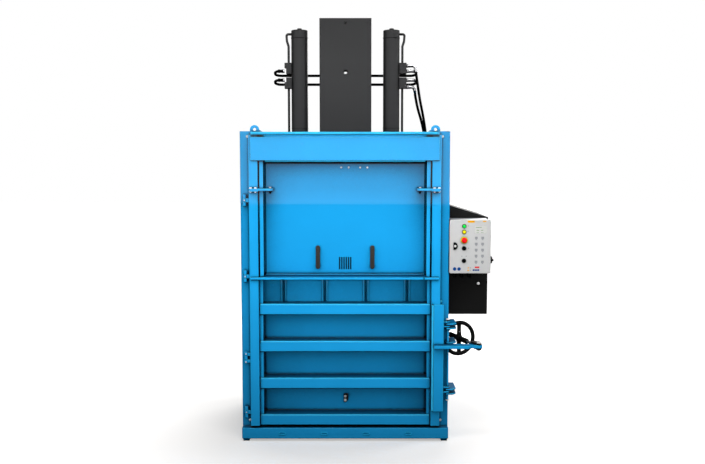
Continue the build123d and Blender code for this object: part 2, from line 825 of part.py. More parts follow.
# Power pack housing: a cabinet with a roof that slopes to the right and an opening low in front
with BuildPart() as pack_housing:
    with BuildSketch(facing(pack_front + pack_depth)) as pack_outline:
        with BuildLine():
            Polyline(
                (wall_outer, pack_bottom),
                (pack_right, pack_bottom),
                (pack_right, pack_roof_right),
                (wall_outer, pack_roof_left),
                close=True,
            )
        make_face()
    extrude(amount=pack_depth)
    fillet(pack_housing.edges().filter_by(Axis.Y).filter_by(lambda e: e.center().X > pack_right - 1), pack_corner)
    with BuildSketch(facing(pack_front + pack_depth - pack_wall)):
        with BuildLine():
            Polyline(
                (wall_outer + pack_wall, pack_bottom + pack_wall),
                (pack_right - pack_wall, pack_bottom + pack_wall),
                (pack_right - pack_wall, pack_roof_right - pack_wall),
                (wall_outer + pack_wall, pack_roof_left - pack_wall),
                close=True,
            )
        make_face()
    extrude(amount=pack_depth - 2 * pack_wall, mode=Mode.SUBTRACT)
    with BuildSketch(facing(pack_front + pack_wall)):
        with Locations(((wall_outer + pack_right) / 2, (pack_cover_bottom + pack_cover_top) / 2)):
            Rectangle(pack_right - wall_outer - 5 * pack_cover_margin, pack_cover_top - pack_cover_bottom - 5 * pack_cover_margin)
    extrude(amount=pack_wall, mode=Mode.SUBTRACT)
save("pack_housing", pack_housing.part)

# Inside the pack: an oil tank with the pump motor standing on it
tank_margin = 24.0
tank_height = 300.0
motor_diameter = 180.0
motor_height = 250.0
motor_fins = 16
tank_middle = ((wall_outer + pack_right) / 2, pack_front + pack_depth / 2)
with BuildPart() as pack_drive:
    with BuildSketch(Plane.XY.offset(pack_bottom + pack_wall)):
        with Locations(tank_middle):
            RectangleRounded(pack_right - wall_outer - 2 * tank_margin, pack_depth - 4 * tank_margin, tank_margin)
    extrude(amount=tank_height)
    with BuildSketch(Plane.XY.offset(pack_bottom + pack_wall)):
        with Locations(tank_middle):
            Rectangle(pack_right - wall_outer - 3 * tank_margin, pack_depth - 5 * tank_margin)
    extrude(amount=tank_height - pack_wall, mode=Mode.SUBTRACT)
    with BuildSketch(Plane.XY.offset(pack_bottom + pack_wall + tank_height)):
        with Locations(tank_middle):
            Circle(motor_diameter / 2)
    extrude(amount=motor_height)
    chamfer(pack_drive.faces().sort_by(Axis.Z)[-1].edges(), 12)
    with BuildSketch(Plane.XY.offset(pack_bottom + pack_wall + tank_height + 30)):
        with Locations(tank_middle):
            with PolarLocations(motor_diameter / 2 + 4, motor_fins):
                Rectangle(16, 5)
    extrude(amount=motor_height - 70)
save("pack_drive", pack_drive.part)

# Access cover of the pack: a folded sheet hinged on its left edge
with BuildPart() as pack_cover:
    with BuildSketch(facing(pack_front)):
        with Locations(((wall_outer + pack_right) / 2, (pack_cover_bottom + pack_cover_top) / 2)):
            RectangleRounded(pack_right - wall_outer - 2 * pack_cover_margin, pack_cover_top - pack_cover_bottom, 3)
        with Locations((pack_lock_x, pack_lock_level)):
            Circle(pack_lock_diameter / 2 + fit, mode=Mode.SUBTRACT)
    extrude(amount=pack_cover_sheet)
save("pack_cover", pack_cover.part)

# Quarter-turn lock in that cover
with BuildPart() as pack_lock:
    with BuildSketch(facing(pack_front)):
        with Locations((pack_lock_x, pack_lock_level)):
            Circle(pack_lock_diameter / 2)
    extrude(amount=pack_cover_sheet + 3)
    with BuildSketch(facing(pack_front - pack_cover_sheet - fit)):
        with Locations((pack_lock_x, pack_lock_level)):
            Circle(pack_lock_ring / 2)
            Rectangle(pack_lock_diameter / 3, pack_lock_diameter * 0.8, mode=Mode.SUBTRACT)
    extrude(amount=3)
save("pack_lock", pack_lock.part)

# Control box on the right of the front post
box_middle = ((wall_outer + box_right) / 2, (box_bottom + box_top) / 2)
box_back = pack_front - pack_cover_sheet - 12
box_edge = box_front + cover_depth + cover_gap
with BuildPart() as control_box:
    with BuildSketch(facing(box_back)):
        with Locations(box_middle):
            RectangleRounded(box_width, box_height, box_radius)
    extrude(amount=box_back - box_edge)
    with BuildSketch(facing(box_back - box_wall)):
        with Locations(box_middle):
            RectangleRounded(box_width - 2 * box_wall, box_height - 2 * box_wall, box_radius - box_wall)
    extrude(amount=box_back - box_wall - box_edge, mode=Mode.SUBTRACT)
save("control_box", control_box.part)

# Control cover: a shallow tray with a socket behind each control
socket_wall = 4.0
socket_spots = [(button_x, level, button_diameter / 2) for level in button_levels]
socket_spots += [(button_x, stop_button_level, stop_stem / 2), (latch_x, latch_level, latch_core / 2)]
with BuildPart() as control_cover:
    with BuildSketch(facing(box_front + cover_depth)):
        with Locations(box_middle):
            RectangleRounded(box_width, box_height, box_radius)
    extrude(amount=cover_depth)
    fillet(control_cover.faces().sort_by(Axis.Y)[0].edges(), 3)
    with BuildSketch(facing(box_front + cover_depth)):
        with Locations(box_middle):
            RectangleRounded(box_width - 2 * box_wall, box_height - 2 * box_wall, box_radius - box_wall)
    extrude(amount=cover_depth - box_wall, mode=Mode.SUBTRACT)
    with BuildSketch(facing(box_front + cover_depth)):
        for x, z, r in socket_spots:
            with Locations((x, z)):
                Circle(r + fit + socket_wall)
    extrude(amount=cover_depth - box_wall)
    with BuildSketch(facing(box_front + pocket_depth)):
        for x, z, r in socket_spots:
            with Locations((x, z)):
                Circle(r + fit)
    extrude(amount=pocket_depth, mode=Mode.SUBTRACT)
save("control_cover", control_cover.part)

with BuildPart() as button_bezels:
    with BuildSketch(facing(box_front)):
        for level in button_levels:
            with Locations((button_x, level)):
                Circle(bezel_diameter / 2)
                Circle(button_diameter / 2 + fit, mode=Mode.SUBTRACT)
    extrude(amount=bezel_height)
    chamfer(button_bezels.faces().sort_by(Axis.Y)[0:4].edges(), 0.8)
save("button_bezels", button_bezels.part)

for name, level in zip(button_names, button_levels):
    with BuildPart() as button:
        with BuildSketch(facing(box_front - button_front + button_depth)):
            with Locations((button_x, level)):
                Circle(button_diameter / 2)
        extrude(amount=button_depth)
        fillet(button.faces().sort_by(Axis.Y)[0].edges(), 1.5)
    save(name, button.part)

# Emergency stop: a round collar and a mushroom head on a stem
with BuildPart() as stop_collar:
    with BuildSketch(facing(box_front)):
        with Locations((button_x, stop_button_level)):
            Circle(stop_collar_diameter / 2)
            Circle(stop_stem / 2 + fit, mode=Mode.SUBTRACT)
    extrude(amount=bezel_height)
    chamfer(stop_collar.faces().sort_by(Axis.Y)[0].edges(), 1)
save("stop_collar", stop_collar.part)

with BuildPart() as stop_button:
    with BuildSketch(facing(box_front - button_front + button_depth)):
        with Locations((button_x, stop_button_level)):
            Circle(stop_stem / 2)
    extrude(amount=stop_reach - button_front + button_depth - stop_head_height)
    with BuildSketch(facing(box_front - stop_reach + stop_head_height)):
        with Locations((button_x, stop_button_level)):
            Circle(stop_head / 2)
    extrude(amount=stop_head_height)
    fillet(stop_button.faces().sort_by(Axis.Y)[0].edges(), 5)
save("stop_button", stop_button.part)

# Cover latch: a plate with one straight side, on a round core
with BuildPart() as cover_latch:
    with BuildSketch(facing(box_front - fit)):
        with Locations((latch_x, latch_level)):
            Rectangle(latch_width, latch_height)
    extrude(amount=latch_plate)
    latch_corners = cover_latch.edges().filter_by(Axis.Y).group_by(Axis.X)
    fillet(latch_corners[-1], latch_width * 0.6)
    with BuildSketch(facing(box_front - fit)):
        with Locations((latch_x, latch_level)):
            Circle(latch_core / 2)
    extrude(amount=-pocket_depth + 2)
save("cover_latch", cover_latch.part)

# Main switch on the right side of the control box
with BuildPart() as main_switch:
    with BuildSketch(Plane.YZ.offset(box_right + fit)):
        with Locations((switch_y, switch_level)):
            Circle(switch_disc / 2)
    extrude(amount=switch_disc_height)
    chamfer(main_switch.faces().sort_by(Axis.X)[-1].edges(), 1.5)
    with BuildSketch(Plane.YZ.offset(box_right + fit + switch_disc_height)):
        with Locations((switch_y, switch_level)):
            RectangleRounded(switch_grip, switch_disc * 0.9, 4)
    extrude(amount=switch_reach - fit - switch_disc_height)
save("main_switch", main_switch.part)

# Door stiles: a rounded tube on each side with a folded strip and a deep web towards the middle
web_inner = door_box_half - door_web
with BuildPart() as door_stiles:
    for side in (-1, 1):
        with BuildSketch(Plane.XY.offset(door_bottom)):
            with Locations((side * (door_half - stile_width / 2), stile_depth / 2)):
                RectangleRounded(stile_width, stile_depth, stile_radius)
            with Locations((side * (door_box_half + stile_inner + stile_radius) / 2, bridge_front + bridge_depth / 2)):
                Rectangle(stile_inner + stile_radius - door_box_half, bridge_depth)
        extrude(amount=lip_bottom - door_bottom)
        with BuildSketch(Plane.XY.offset(door_bottom)):
            with Locations((side * (door_box_half - door_web / 2), (bridge_front + door_inner) / 2)):
                Rectangle(door_web, door_inner - bridge_front)
        extrude(amount=sill_bottom - door_bottom)
        with BuildSketch(Plane.XY.offset(door_bottom + post_wall)):
            with Locations((side * (door_half - stile_width / 2), stile_depth / 2)):
                Rectangle(stile_width - 2 * bridge_depth, stile_depth - 2 * bridge_depth)
        extrude(amount=lip_bottom - door_bottom - 2 * post_wall, mode=Mode.SUBTRACT)
save("door_stiles", door_stiles.part)

# Header and top lip of the door
header_inner = rail_inner - rail_skin
with BuildPart() as door_header:
    with BuildSketch(facing(0)):
        with Locations((0, (header_bottom + header_top) / 2)):
            RectangleRounded(2 * lip_half, header_top - header_bottom, 3)
    extrude(amount=header_skin)
    for low in (header_bottom, header_top - header_skin):
        with BuildSketch(Plane.XY.offset(low)):
            with Locations((0, (header_depth - header_skin / 2) / 2)):
                Rectangle(2 * header_inner, header_depth + header_skin / 2)
        extrude(amount=header_skin)
    with BuildSketch(Plane.XY.offset(lip_bottom)):
        with Locations((0, (header_depth + 4 - lip_front) / 2)):
            Rectangle(2 * lip_half, header_depth + 4 + lip_front)
    extrude(amount=lip_height)
    lip_corners = door_header.edges().filter_by(Axis.Z).group_by(Axis.Y)[0]
    fillet(lip_corners, lip_radius)
save("door_header", door_header.part)

# Door beams: folded channels, open to the back, with rounded front edges
with BuildPart() as door_beams:
    for level in beam_levels:
        with BuildSketch(Plane.YZ.offset(-web_inner)) as beam_section:
            with Locations(((beam_front + door_inner - door_sheet) / 2, level)):
                Rectangle(door_inner - door_sheet - beam_front, beam_height)
            fillet(beam_section.vertices().group_by(Axis.X)[0], beam_radius)
            with Locations(((beam_front + bridge_depth + door_inner - door_sheet) / 2, level)):
                Rectangle(door_inner - door_sheet - beam_front - bridge_depth, beam_height - 2 * door_sheet, mode=Mode.SUBTRACT)
        extrude(amount=2 * web_inner)
        with BuildSketch(Plane.YZ.offset(-beam_half)) as flange_section:
            with Locations((beam_front + bridge_depth / 2, level)):
                Rectangle(bridge_depth, beam_height)
            fillet(flange_section.vertices().group_by(Axis.X)[0], beam_radius - 0.1)
        extrude(amount=2 * beam_half)
save("door_beams", door_beams.part)

# Door panel behind the beams
with BuildPart() as door_panel:
    with BuildSketch(facing(door_inner)):
        with Locations((0, (door_bottom + beam_levels[-1] + beam_height / 2) / 2)):
            Rectangle(2 * web_inner, beam_levels[-1] + beam_height / 2 - door_bottom)
    extrude(amount=door_sheet)
save("door_panel", door_panel.part)

# Gate rails: a front flange, a deep web and two lips that guide the gate
with BuildPart() as gate_rails:
    for side in (-1, 1):
        with BuildSketch(Plane.XY.offset(sill_top)):
            with Locations((side * (rail_inner + rail_outer) / 2, rail_front + rail_skin / 2)):
                Rectangle(rail_outer - rail_inner, rail_skin)
            with Locations((side * (door_box_half - rail_skin / 2), (rail_front + rail_back) / 2)):
                Rectangle(rail_skin, rail_back - rail_front)
            for y in (rail_lip_front, rail_back - rail_lip_skin):
                with Locations((side * (door_box_half - rail_skin - rail_lip / 2), y + rail_lip_skin / 2)):
                    Rectangle(rail_lip, rail_lip_skin)
        extrude(amount=lip_bottom - sill_top)
save("gate_rails", gate_rails.part)

# Sill shelf under the gate, with a narrow cut near its right end
with BuildPart() as sill_shelf:
    with BuildSketch(Plane.XY.offset(sill_bottom)):
        with Locations(((sill_right - sill_left) / 2, -sill_front / 2)):
            Rectangle(sill_left + sill_right, sill_front)
        with Locations((0, (sill_back - sill_front) / 2)):
            Rectangle(2 * door_box_half, sill_back + sill_front)
        with Locations((sill_notch_x, -sill_front / 2)):
            Rectangle(sill_notch, sill_front, mode=Mode.SUBTRACT)
    extrude(amount=sill_height)
    shelf_ends = sill_shelf.edges().filter_by(Axis.Z).filter_by(lambda e: abs(e.center().X) > stile_inner)
    fillet(shelf_ends, 4)
save("sill_shelf", sill_shelf.part)

# Gate stops: a bar across each stile with a tongue over the gate, and a tab under it for the bolts
with BuildPart() as stop_bars:
    for side in (-1, 1):
        with BuildSketch(Plane.XY.offset(stop_level)):
            with Locations((side * (stop_x + stop_width / 2), -stop_front / 2)):
                Rectangle(stop_width, stop_front)
            with Locations((side * (stop_x + stop_tongue / 2), (stop_back - stop_front) / 2)):
                Rectangle(stop_tongue, stop_back + stop_front)
        extrude(amount=stop_plate)
        with BuildSketch(Plane.XY.offset(stop_level - door_sheet)):
            with Locations((side * (stop_x + stop_width - stop_tab / 2), -stop_front / 2)):
                Rectangle(stop_tab, stop_front)
        extrude(amount=door_sheet)
    tips = stop_bars.edges().filter_by(Axis.Z).filter_by(lambda e: abs(e.center().X) < stop_x + 1 and e.center().Y < 0)
    chamfer(tips, stop_front * 0.6)
save("stop_bars", stop_bars.part)

# Rubber cones under the stops
with BuildPart() as stop_cones:
    for side in (-1, 1):
        with BuildSketch(Plane.XY.offset(stop_level - cone_height)):
            with Locations((side * cone_x, cone_y)):
                Circle(cone_tip / 2)
        with BuildSketch(Plane.XY.offset(stop_level)):
            with Locations((side * cone_x, cone_y)):
                Circle(cone_top / 2)
        loft()
save("stop_cones", stop_cones.part)

# Screws of the door: two through each stop, one over each cone and two in the hook
hook_bottom = beam_levels[0] + 96.5
hook_height = 63.0
hook_width = 30.0
hook_left = -10.0
with BuildPart() as door_screws:
    for side in (-1, 1):
        for place in stop_bolt_places:
            with BuildSketch(Plane.XY.offset(stop_level + stop_plate)):
                with Locations((side * (stop_x + place), -stop_bolt_depth)):
                    RegularPolygon(9, 6)
            extrude(amount=screw_height)
            with BuildSketch(Plane.XY.offset(stop_level - door_sheet)):
                with Locations((side * (stop_x + place), -stop_bolt_depth)):
                    RegularPolygon(9, 6)
            extrude(amount=-screw_height)
        with BuildSketch(Plane.XY.offset(stop_level + stop_plate)):
            with Locations((side * cone_x, cone_y)):
                Circle(screw_head)
        extrude(amount=screw_height)
    with BuildSketch(facing(door_inner - 2 * door_sheet)):
        with Locations((0, hook_bottom + 15), (0, hook_bottom + 43)):
            Circle(screw_head - 2)
    extrude(amount=4)
save("door_screws", door_screws.part)

# Small hook plate on the lowest field of the door panel
with BuildPart() as panel_hook:
    with BuildSketch(facing(door_inner - door_sheet)):
        with BuildLine():
            Polyline(
                (hook_left, hook_bottom),
                (hook_left + hook_width * 0.53, hook_bottom),
                (hook_left + hook_width, hook_bottom + hook_height * 0.3),
                (hook_left + hook_width, hook_bottom + hook_height),
                (hook_left, hook_bottom + hook_height),
                close=True,
            )
        make_face()
    extrude(amount=door_sheet)
    with BuildSketch(facing(door_inner - 2 * door_sheet)):
        with Locations((hook_left + hook_width * 5 / 6, hook_bottom + hook_height - 10)):
            Rectangle(hook_width / 3, 20)
    extrude(amount=14)
save("panel_hook", panel_hook.part)

# Gate: a folded panel with a lip below, a flange on top, side folds that run in the rails and a vent
vent_xs = [vent_pitch * (i - (vent_count - 1) / 2) for i in range(vent_count)]
with BuildPart() as gate_panel:
    with BuildSketch(facing(gate_front + gate_sheet)):
        with Locations((0, (gate_bottom + gate_top) / 2)):
            Rectangle(2 * gate_half, gate_top - gate_bottom)
        for x in vent_xs:
            with Locations((x, vent_level)):
                SlotOverall(vent_height, vent_slot, rotation=90, mode=Mode.SUBTRACT)
    extrude(amount=gate_sheet)
    with BuildSketch(Plane.XY.offset(gate_bottom)):
        for side in (-1, 1):
            with Locations((side * (gate_half - gate_sheet / 2), gate_front + gate_return / 2)):
                Rectangle(gate_sheet, gate_return)
            with Locations((side * (gate_half + gate_tongue / 2 - gate_sheet / 2), gate_back - gate_sheet / 2)):
                Rectangle(gate_tongue + gate_sheet, gate_sheet)
    extrude(amount=gate_top - gate_bottom)
    with BuildSketch(Plane.XY.offset(gate_bottom)):
        with Locations((0, gate_front - gate_lip / 2)):
            Rectangle(2 * gate_half, gate_lip)
    extrude(amount=gate_lip_height)
    with BuildSketch(Plane.XY.offset(gate_top - gate_sheet)):
        with Locations((0, gate_front + gate_return / 2)):
            Rectangle(2 * gate_half, gate_return)
    extrude(amount=gate_sheet)
    fillet(gate_panel.edges().filter_by(Axis.X).group_by(Axis.Y)[0], gate_lip_height * 0.3)
save("gate_panel", gate_panel.part)

# Handles of the gate: bows with a finger gap behind
with BuildPart() as gate_handles:
    for side in (-1, 1):
        with BuildSketch(Plane.YZ.offset(side * handle_x - handle_width / 2)) as bow:
            with Locations((gate_front - handle_reach / 2, handle_level)):
                Rectangle(handle_reach, handle_length)
            fillet(bow.vertices().group_by(Axis.X)[0], handle_bar)
            with Locations((gate_front - (handle_reach - handle_bar) / 2, handle_level)):
                Rectangle(handle_reach - handle_bar, handle_length - 2 * handle_bar, mode=Mode.SUBTRACT)
        extrude(amount=handle_width)
    grips = gate_handles.edges().filter_by(Axis.Z).filter_by(lambda e: e.center().Y < gate_front - handle_reach + 1)
    fillet(grips, handle_bar * 0.4)
save("gate_handles", gate_handles.part)

# Screw heads near the top of the gate
gate_screw_xs = (-27.0, 26.0, 107.0, 158.0)
gate_screw_level = gate_top - 69
with BuildPart() as gate_screws:
    with BuildSketch(facing(gate_front)):
        for x in gate_screw_xs:
            with Locations((x, gate_screw_level)):
                Circle(screw_head - 1)
    extrude(amount=screw_height / 2)
save("gate_screws", gate_screws.part)

# Press plate: an open steel tray with two cross walls. Four strap channels run from front to back
# through its underside, and each opens as a slit with bevelled edges in the front wall.
plate_middle = plate_front + plate_depth / 2
plate_top = plate_bottom + plate_height
pocket_wall = press_y - plate_pocket / 2 - plate_wall / 2
with BuildPart() as press_plate:
    with BuildSketch(Plane.XY.offset(plate_bottom)):
        with Locations((0, plate_middle)):
            Rectangle(plate_width, plate_depth)
    extrude(amount=plate_height)
    with BuildSketch(Plane.XY.offset(sole_top)):
        with Locations((0, plate_middle)):
            Rectangle(plate_width - 2 * plate_wall, plate_depth - 2 * plate_wall)
    extrude(amount=plate_height - plate_sole, mode=Mode.SUBTRACT)
    with BuildSketch(Plane.XY.offset(sole_top)):
        with Locations((0, press_y)):
            with GridLocations(0, plate_pocket + plate_wall, 1, 2):
                Rectangle(plate_width - 2 * plate_wall, plate_wall)
    extrude(amount=plate_height - plate_sole)
    with BuildSketch(Plane.XY.offset(sole_top)):
        for x in strap_xs:
            with Locations((x, plate_middle)):
                Rectangle(plate_channel, plate_depth - 2 * plate_wall)
    extrude(amount=plate_channel, mode=Mode.SUBTRACT)
    with BuildSketch(Plane.XY.offset(plate_bottom)):
        for x in strap_xs:
            with Locations((x, plate_middle)):
                Rectangle(plate_slit, plate_depth)
    extrude(amount=plate_sole + plate_channel, mode=Mode.SUBTRACT)
    with BuildSketch(Plane.XY.offset(plate_bottom)):
        for x in strap_xs:
            with BuildLine():
                Polyline(
                    (x - plate_slit_mouth / 2, plate_front),
                    (x + plate_slit_mouth / 2, plate_front),
                    (x + plate_slit / 2, plate_front + plate_wall / 2),
                    (x + plate_slit / 2, plate_front + plate_wall),
                    (x - plate_slit / 2, plate_front + plate_wall),
                    (x - plate_slit / 2, plate_front + plate_wall / 2),
                    close=True,
                )
            make_face()
    extrude(amount=plate_height, mode=Mode.SUBTRACT)
save("press_plate", press_plate.part)

# Piston rods with a foot on the press plate and a piston inside each barrel
with BuildPart() as piston_rods:
    for low, diameter, height in (
        (sole_top, rod_foot, rod_foot_height),
        (sole_top, rod_diameter, rod_top - sole_top),
        (rod_top - piston_height, barrel_bore - 2 * fit, piston_height),
    ):
        with BuildSketch(Plane.XY.offset(low)):
            with GridLocations(2 * cylinder_x, 0, 2, 1):
                with Locations((0, press_y)):
                    Circle(diameter / 2)
        extrude(amount=height)
save("piston_rods", piston_rods.part)

# Guide beam: a tube on the press plate that slides inside the mast
beam_width = mast_width - 2 * mast_wall - 2 * guide_gap
beam_depth = mast_depth - 2 * mast_wall - 2 * guide_gap
with BuildPart() as guide_beam:
    with BuildSketch(Plane.XY.offset(sole_top)):
        with Locations((0, press_y)):
            Rectangle(beam_width, beam_depth)
            Rectangle(beam_width - 2 * guide_wall, beam_depth - 2 * guide_wall, mode=Mode.SUBTRACT)
    extrude(amount=guide_top - sole_top)
save("guide_beam", guide_beam.part)

# Lock bar: a folded channel in front of the right-hand stile with a thick round-nosed edge that
# presses on the door, and ears on the pivot shaft
with BuildPart() as lock_bar:
    with BuildSketch(Plane.XY.offset(lock_bottom)):
        with Locations(((lock_left + lock_strip + lock_right) / 2, lock_skin / 2 - lock_front)):
            Rectangle(lock_right - lock_left - lock_strip, lock_skin)
        with Locations((lock_right - lock_skin / 2, -(lock_front + lock_back) / 2)):
            Rectangle(lock_skin, lock_front - lock_back)
    extrude(amount=lock_top - lock_bottom)
    with BuildSketch(Plane.XY.offset(lock_bottom + lock_strip_inset)) as nose:
        with Locations((lock_left + lock_strip / 2, -(lock_front + fit) / 2)):
            Rectangle(lock_strip, lock_front - fit)
        fillet(nose.vertices().group_by(Axis.Y)[0], lock_strip * 0.45)
    extrude(amount=lock_top - lock_bottom - 2 * lock_strip_inset)
    for level in bar_ear_levels:
        with BuildSketch(Plane.XY.offset(level)):
            with BuildLine():
                Polyline(
                    (lock_left + lock_strip, -lock_front + lock_skin),
                    (lock_right, -lock_front + lock_skin),
                    (lock_x, lock_y - ear_radius),
                    (lock_x, lock_y + ear_radius),
                    (lock_right, -lock_back),
                    (lock_left + lock_strip, -lock_back),
                    close=True,
                )
            make_face()
            with Locations((lock_x, lock_y)):
                Circle(ear_radius)
                Circle(lock_shaft / 2 + same_body_fit, mode=Mode.SUBTRACT)
        extrude(amount=ear_plate)
save("lock_bar", lock_bar.part)

# Lock arm: the lever in front of the bar, with the pivot shaft welded through it
with BuildPart() as lock_arm:
    with BuildSketch(Plane.XY.offset(arm_bottom)):
        with BuildLine():
            Polyline(
                (lock_left + lock_strip, -arm_front),
                (arm_taper - 12, -arm_front),
                (arm_taper + 10, arm_end_y - arm_boss + 8),
                (arm_end_x, arm_end_y - arm_boss + 8),
                (arm_end_x, arm_end_y + arm_boss - 2),
                (lock_x + arm_hub, lock_y + 6),
                (lock_right, lock_y),
                (lock_right, -lock_front),
                (lock_left + lock_strip, -lock_front),
                close=True,
            )
        make_face()
        with Locations((lock_x, lock_y)):
            Circle(arm_hub)
        with Locations((arm_end_x, arm_end_y)):
            Circle(arm_boss)
            Circle(arm_pin / 2 + same_body_fit, mode=Mode.SUBTRACT)
        with Locations((lock_right - lock_skin, (lock_y - lock_front) / 2)):
            Rectangle(2 * lock_skin, lock_front + lock_y + 30, mode=Mode.SUBTRACT)
    extrude(amount=arm_plate)
    with BuildSketch(Plane.XY.offset(lock_shaft_bottom)):
        with Locations((lock_x, lock_y)):
            Circle(lock_shaft / 2)
    extrude(amount=lock_shaft_top - lock_shaft_bottom)
save("lock_arm", lock_arm.part)

# Bolt through the end of the arm with head and nut, and the cap on the pivot shaft
bolt_half = arm_plate / 2 + clevis_gap + clevis_jaw + fit
with BuildPart() as lock_bolts:
    with BuildSketch(Plane.XY.offset(arm_level - bolt_half)):
        with Locations((arm_end_x, arm_end_y)):
            Circle(arm_pin / 2)
    extrude(amount=2 * bolt_half)
    for low in (arm_level - bolt_half - 10, arm_level + bolt_half):
        with BuildSketch(Plane.XY.offset(low)):
            with Locations((arm_end_x, arm_end_y)):
                RegularPolygon(13, 6)
        extrude(amount=10)
    with BuildSketch(Plane.XY.offset(lock_shaft_top)):
        with Locations((lock_x, lock_y)):
            Circle(lock_cap / 2)
    extrude(amount=lock_cap_height)
    fillet(lock_bolts.faces().sort_by(Axis.Z)[-1].edges(), 3)
save("lock_bolts", lock_bolts.part)

# Screw spindle: the clevis on the arm
with BuildPart() as spindle_clevis:
    for low in (-arm_plate / 2 - clevis_gap - clevis_jaw, arm_plate / 2 + clevis_gap):
        with BuildSketch(spindle_plane.offset(low)):
            with Locations((clevis_length / 2, 0)):
                Rectangle(clevis_length, clevis_width)
            Circle(clevis_width / 2)
            Circle(arm_pin / 2 + fit, mode=Mode.SUBTRACT)
        extrude(amount=clevis_jaw)
    with BuildSketch(spindle_plane.offset(-arm_plate / 2 - clevis_gap)):
        with Locations((clevis_length - clevis_root / 2, 0)):
            Rectangle(clevis_root, clevis_width)
    extrude(amount=arm_plate + 2 * clevis_gap)
save("spindle_clevis", spindle_clevis.part)

# The spindle itself, with the eye at its far end that sits in the fork
with BuildPart() as spindle_shaft:
    with BuildSketch(Plane(arm_end + spindle_axis * clevis_length, z_dir=spindle_axis)):
        Circle(spindle_rod / 2)
    extrude(amount=spindle_length - clevis_length)
    with BuildSketch(spindle_plane.offset(-fork_height / 2)):
        with Locations((spindle_length, 0)):
            Circle(fork_eye)
    extrude(amount=fork_height)
save("spindle_shaft", spindle_shaft.part)

# Bellows on both sides of the handwheel
wheel_front = wheel_at - wheel_hub_length / 2
wheel_back = wheel_at + wheel_hub_length / 2
bellows_gap = 4.0
with BuildPart() as spindle_bellows:
    for start, end in ((bellows_front, wheel_front - bellows_gap), (wheel_back + bellows_gap, bellows_back)):
        fold = (end - start) / bellows_folds
        points = [(start, spindle_rod / 2 + same_body_fit), (start, bellows_inner)]
        for i in range(bellows_folds):
            points += [(start + fold * (i + 0.5), bellows_outer), (start + fold * (i + 1), bellows_inner)]
        points += [(end, spindle_rod / 2 + same_body_fit)]
        with BuildSketch(spindle_plane):
            with BuildLine():
                Polyline(*points, close=True)
            make_face()
        revolve(axis=spindle_line)
save("spindle_bellows", spindle_bellows.part)

# Handwheel: a round rim, a hub and two flat spokes
with BuildPart() as handwheel:
    with BuildSketch(spindle_plane):
        with Locations((wheel_at, wheel_radius)):
            Circle(wheel_rim)
    revolve(axis=spindle_line)
    with BuildSketch(Plane(arm_end + spindle_axis * wheel_front, z_dir=spindle_axis)):
        Circle(wheel_hub)
    extrude(amount=wheel_hub_length)
    with BuildSketch(Plane(arm_end + spindle_axis * (wheel_at - wheel_spoke_thick / 2), x_dir=(0, 0, 1), z_dir=spindle_axis)):
        Rectangle(2 * wheel_radius, wheel_spoke)
    extrude(amount=wheel_spoke_thick)
    with BuildSketch(Plane(arm_end + spindle_axis * wheel_front, z_dir=spindle_axis)):
        Circle(spindle_rod / 2 + fit)
    extrude(amount=wheel_hub_length, mode=Mode.SUBTRACT)
save("handwheel", handwheel.part)
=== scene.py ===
import math
import bmesh
import bpy
from mathutils import Matrix, Vector


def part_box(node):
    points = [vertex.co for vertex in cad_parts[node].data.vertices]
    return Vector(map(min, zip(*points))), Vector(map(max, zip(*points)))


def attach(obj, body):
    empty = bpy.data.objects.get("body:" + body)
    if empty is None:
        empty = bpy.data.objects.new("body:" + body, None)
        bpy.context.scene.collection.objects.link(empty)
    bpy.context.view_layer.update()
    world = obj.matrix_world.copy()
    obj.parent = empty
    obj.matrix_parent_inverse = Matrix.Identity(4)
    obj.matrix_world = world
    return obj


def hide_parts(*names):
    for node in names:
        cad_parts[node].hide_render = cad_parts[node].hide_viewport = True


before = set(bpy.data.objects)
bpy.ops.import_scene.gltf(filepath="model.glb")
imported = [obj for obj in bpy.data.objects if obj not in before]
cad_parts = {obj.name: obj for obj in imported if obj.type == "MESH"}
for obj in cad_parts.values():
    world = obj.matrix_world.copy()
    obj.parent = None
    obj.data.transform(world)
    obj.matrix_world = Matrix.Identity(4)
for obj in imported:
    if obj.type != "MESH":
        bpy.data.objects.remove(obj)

scene = bpy.context.scene
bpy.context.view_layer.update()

# Camera. It stands a little right of the middle of the press, at about eye height, and looks
# slightly down, as the photograph does. Its focal length is given in pixels of the picture.
picture_width = 705.0
focal_pixels = 850.0
film_width = 36.0
look_down = 4.84
camera_data = bpy.data.cameras.new("camera")
camera_data.sensor_width = film_width
camera_data.lens = focal_pixels * film_width / picture_width
camera = bpy.data.objects.new("camera", camera_data)
camera.location = (-0.1084, -6.4385, 2.004)
camera.rotation_euler = (math.radians(90.0 - look_down), 0.0, 0.0)
scene.collection.objects.link(camera)
scene.camera = camera
scene.view_settings.view_transform = "Standard"

# Light. A wide lamp by the camera has a narrow beam at the height of the gate, so that it loses
# strength towards the floor. One lamp hangs high in front, and two light the back and the right.
def soft_lamp(name, place, aim, size, power, mirrored=True, spread=180.0):
    lamp = bpy.data.lights.new(name, "AREA")
    lamp.shape = "RECTANGLE"
    lamp.size, lamp.size_y = size
    lamp.energy = power
    lamp.spread = math.radians(spread)
    holder = bpy.data.objects.new(name, lamp)
    holder.location = place
    holder.rotation_euler = (Vector(aim) - Vector(place)).to_track_quat("-Z", "Y").to_euler()
    holder.visible_camera = False
    holder.visible_glossy = mirrored
    scene.collection.objects.link(holder)


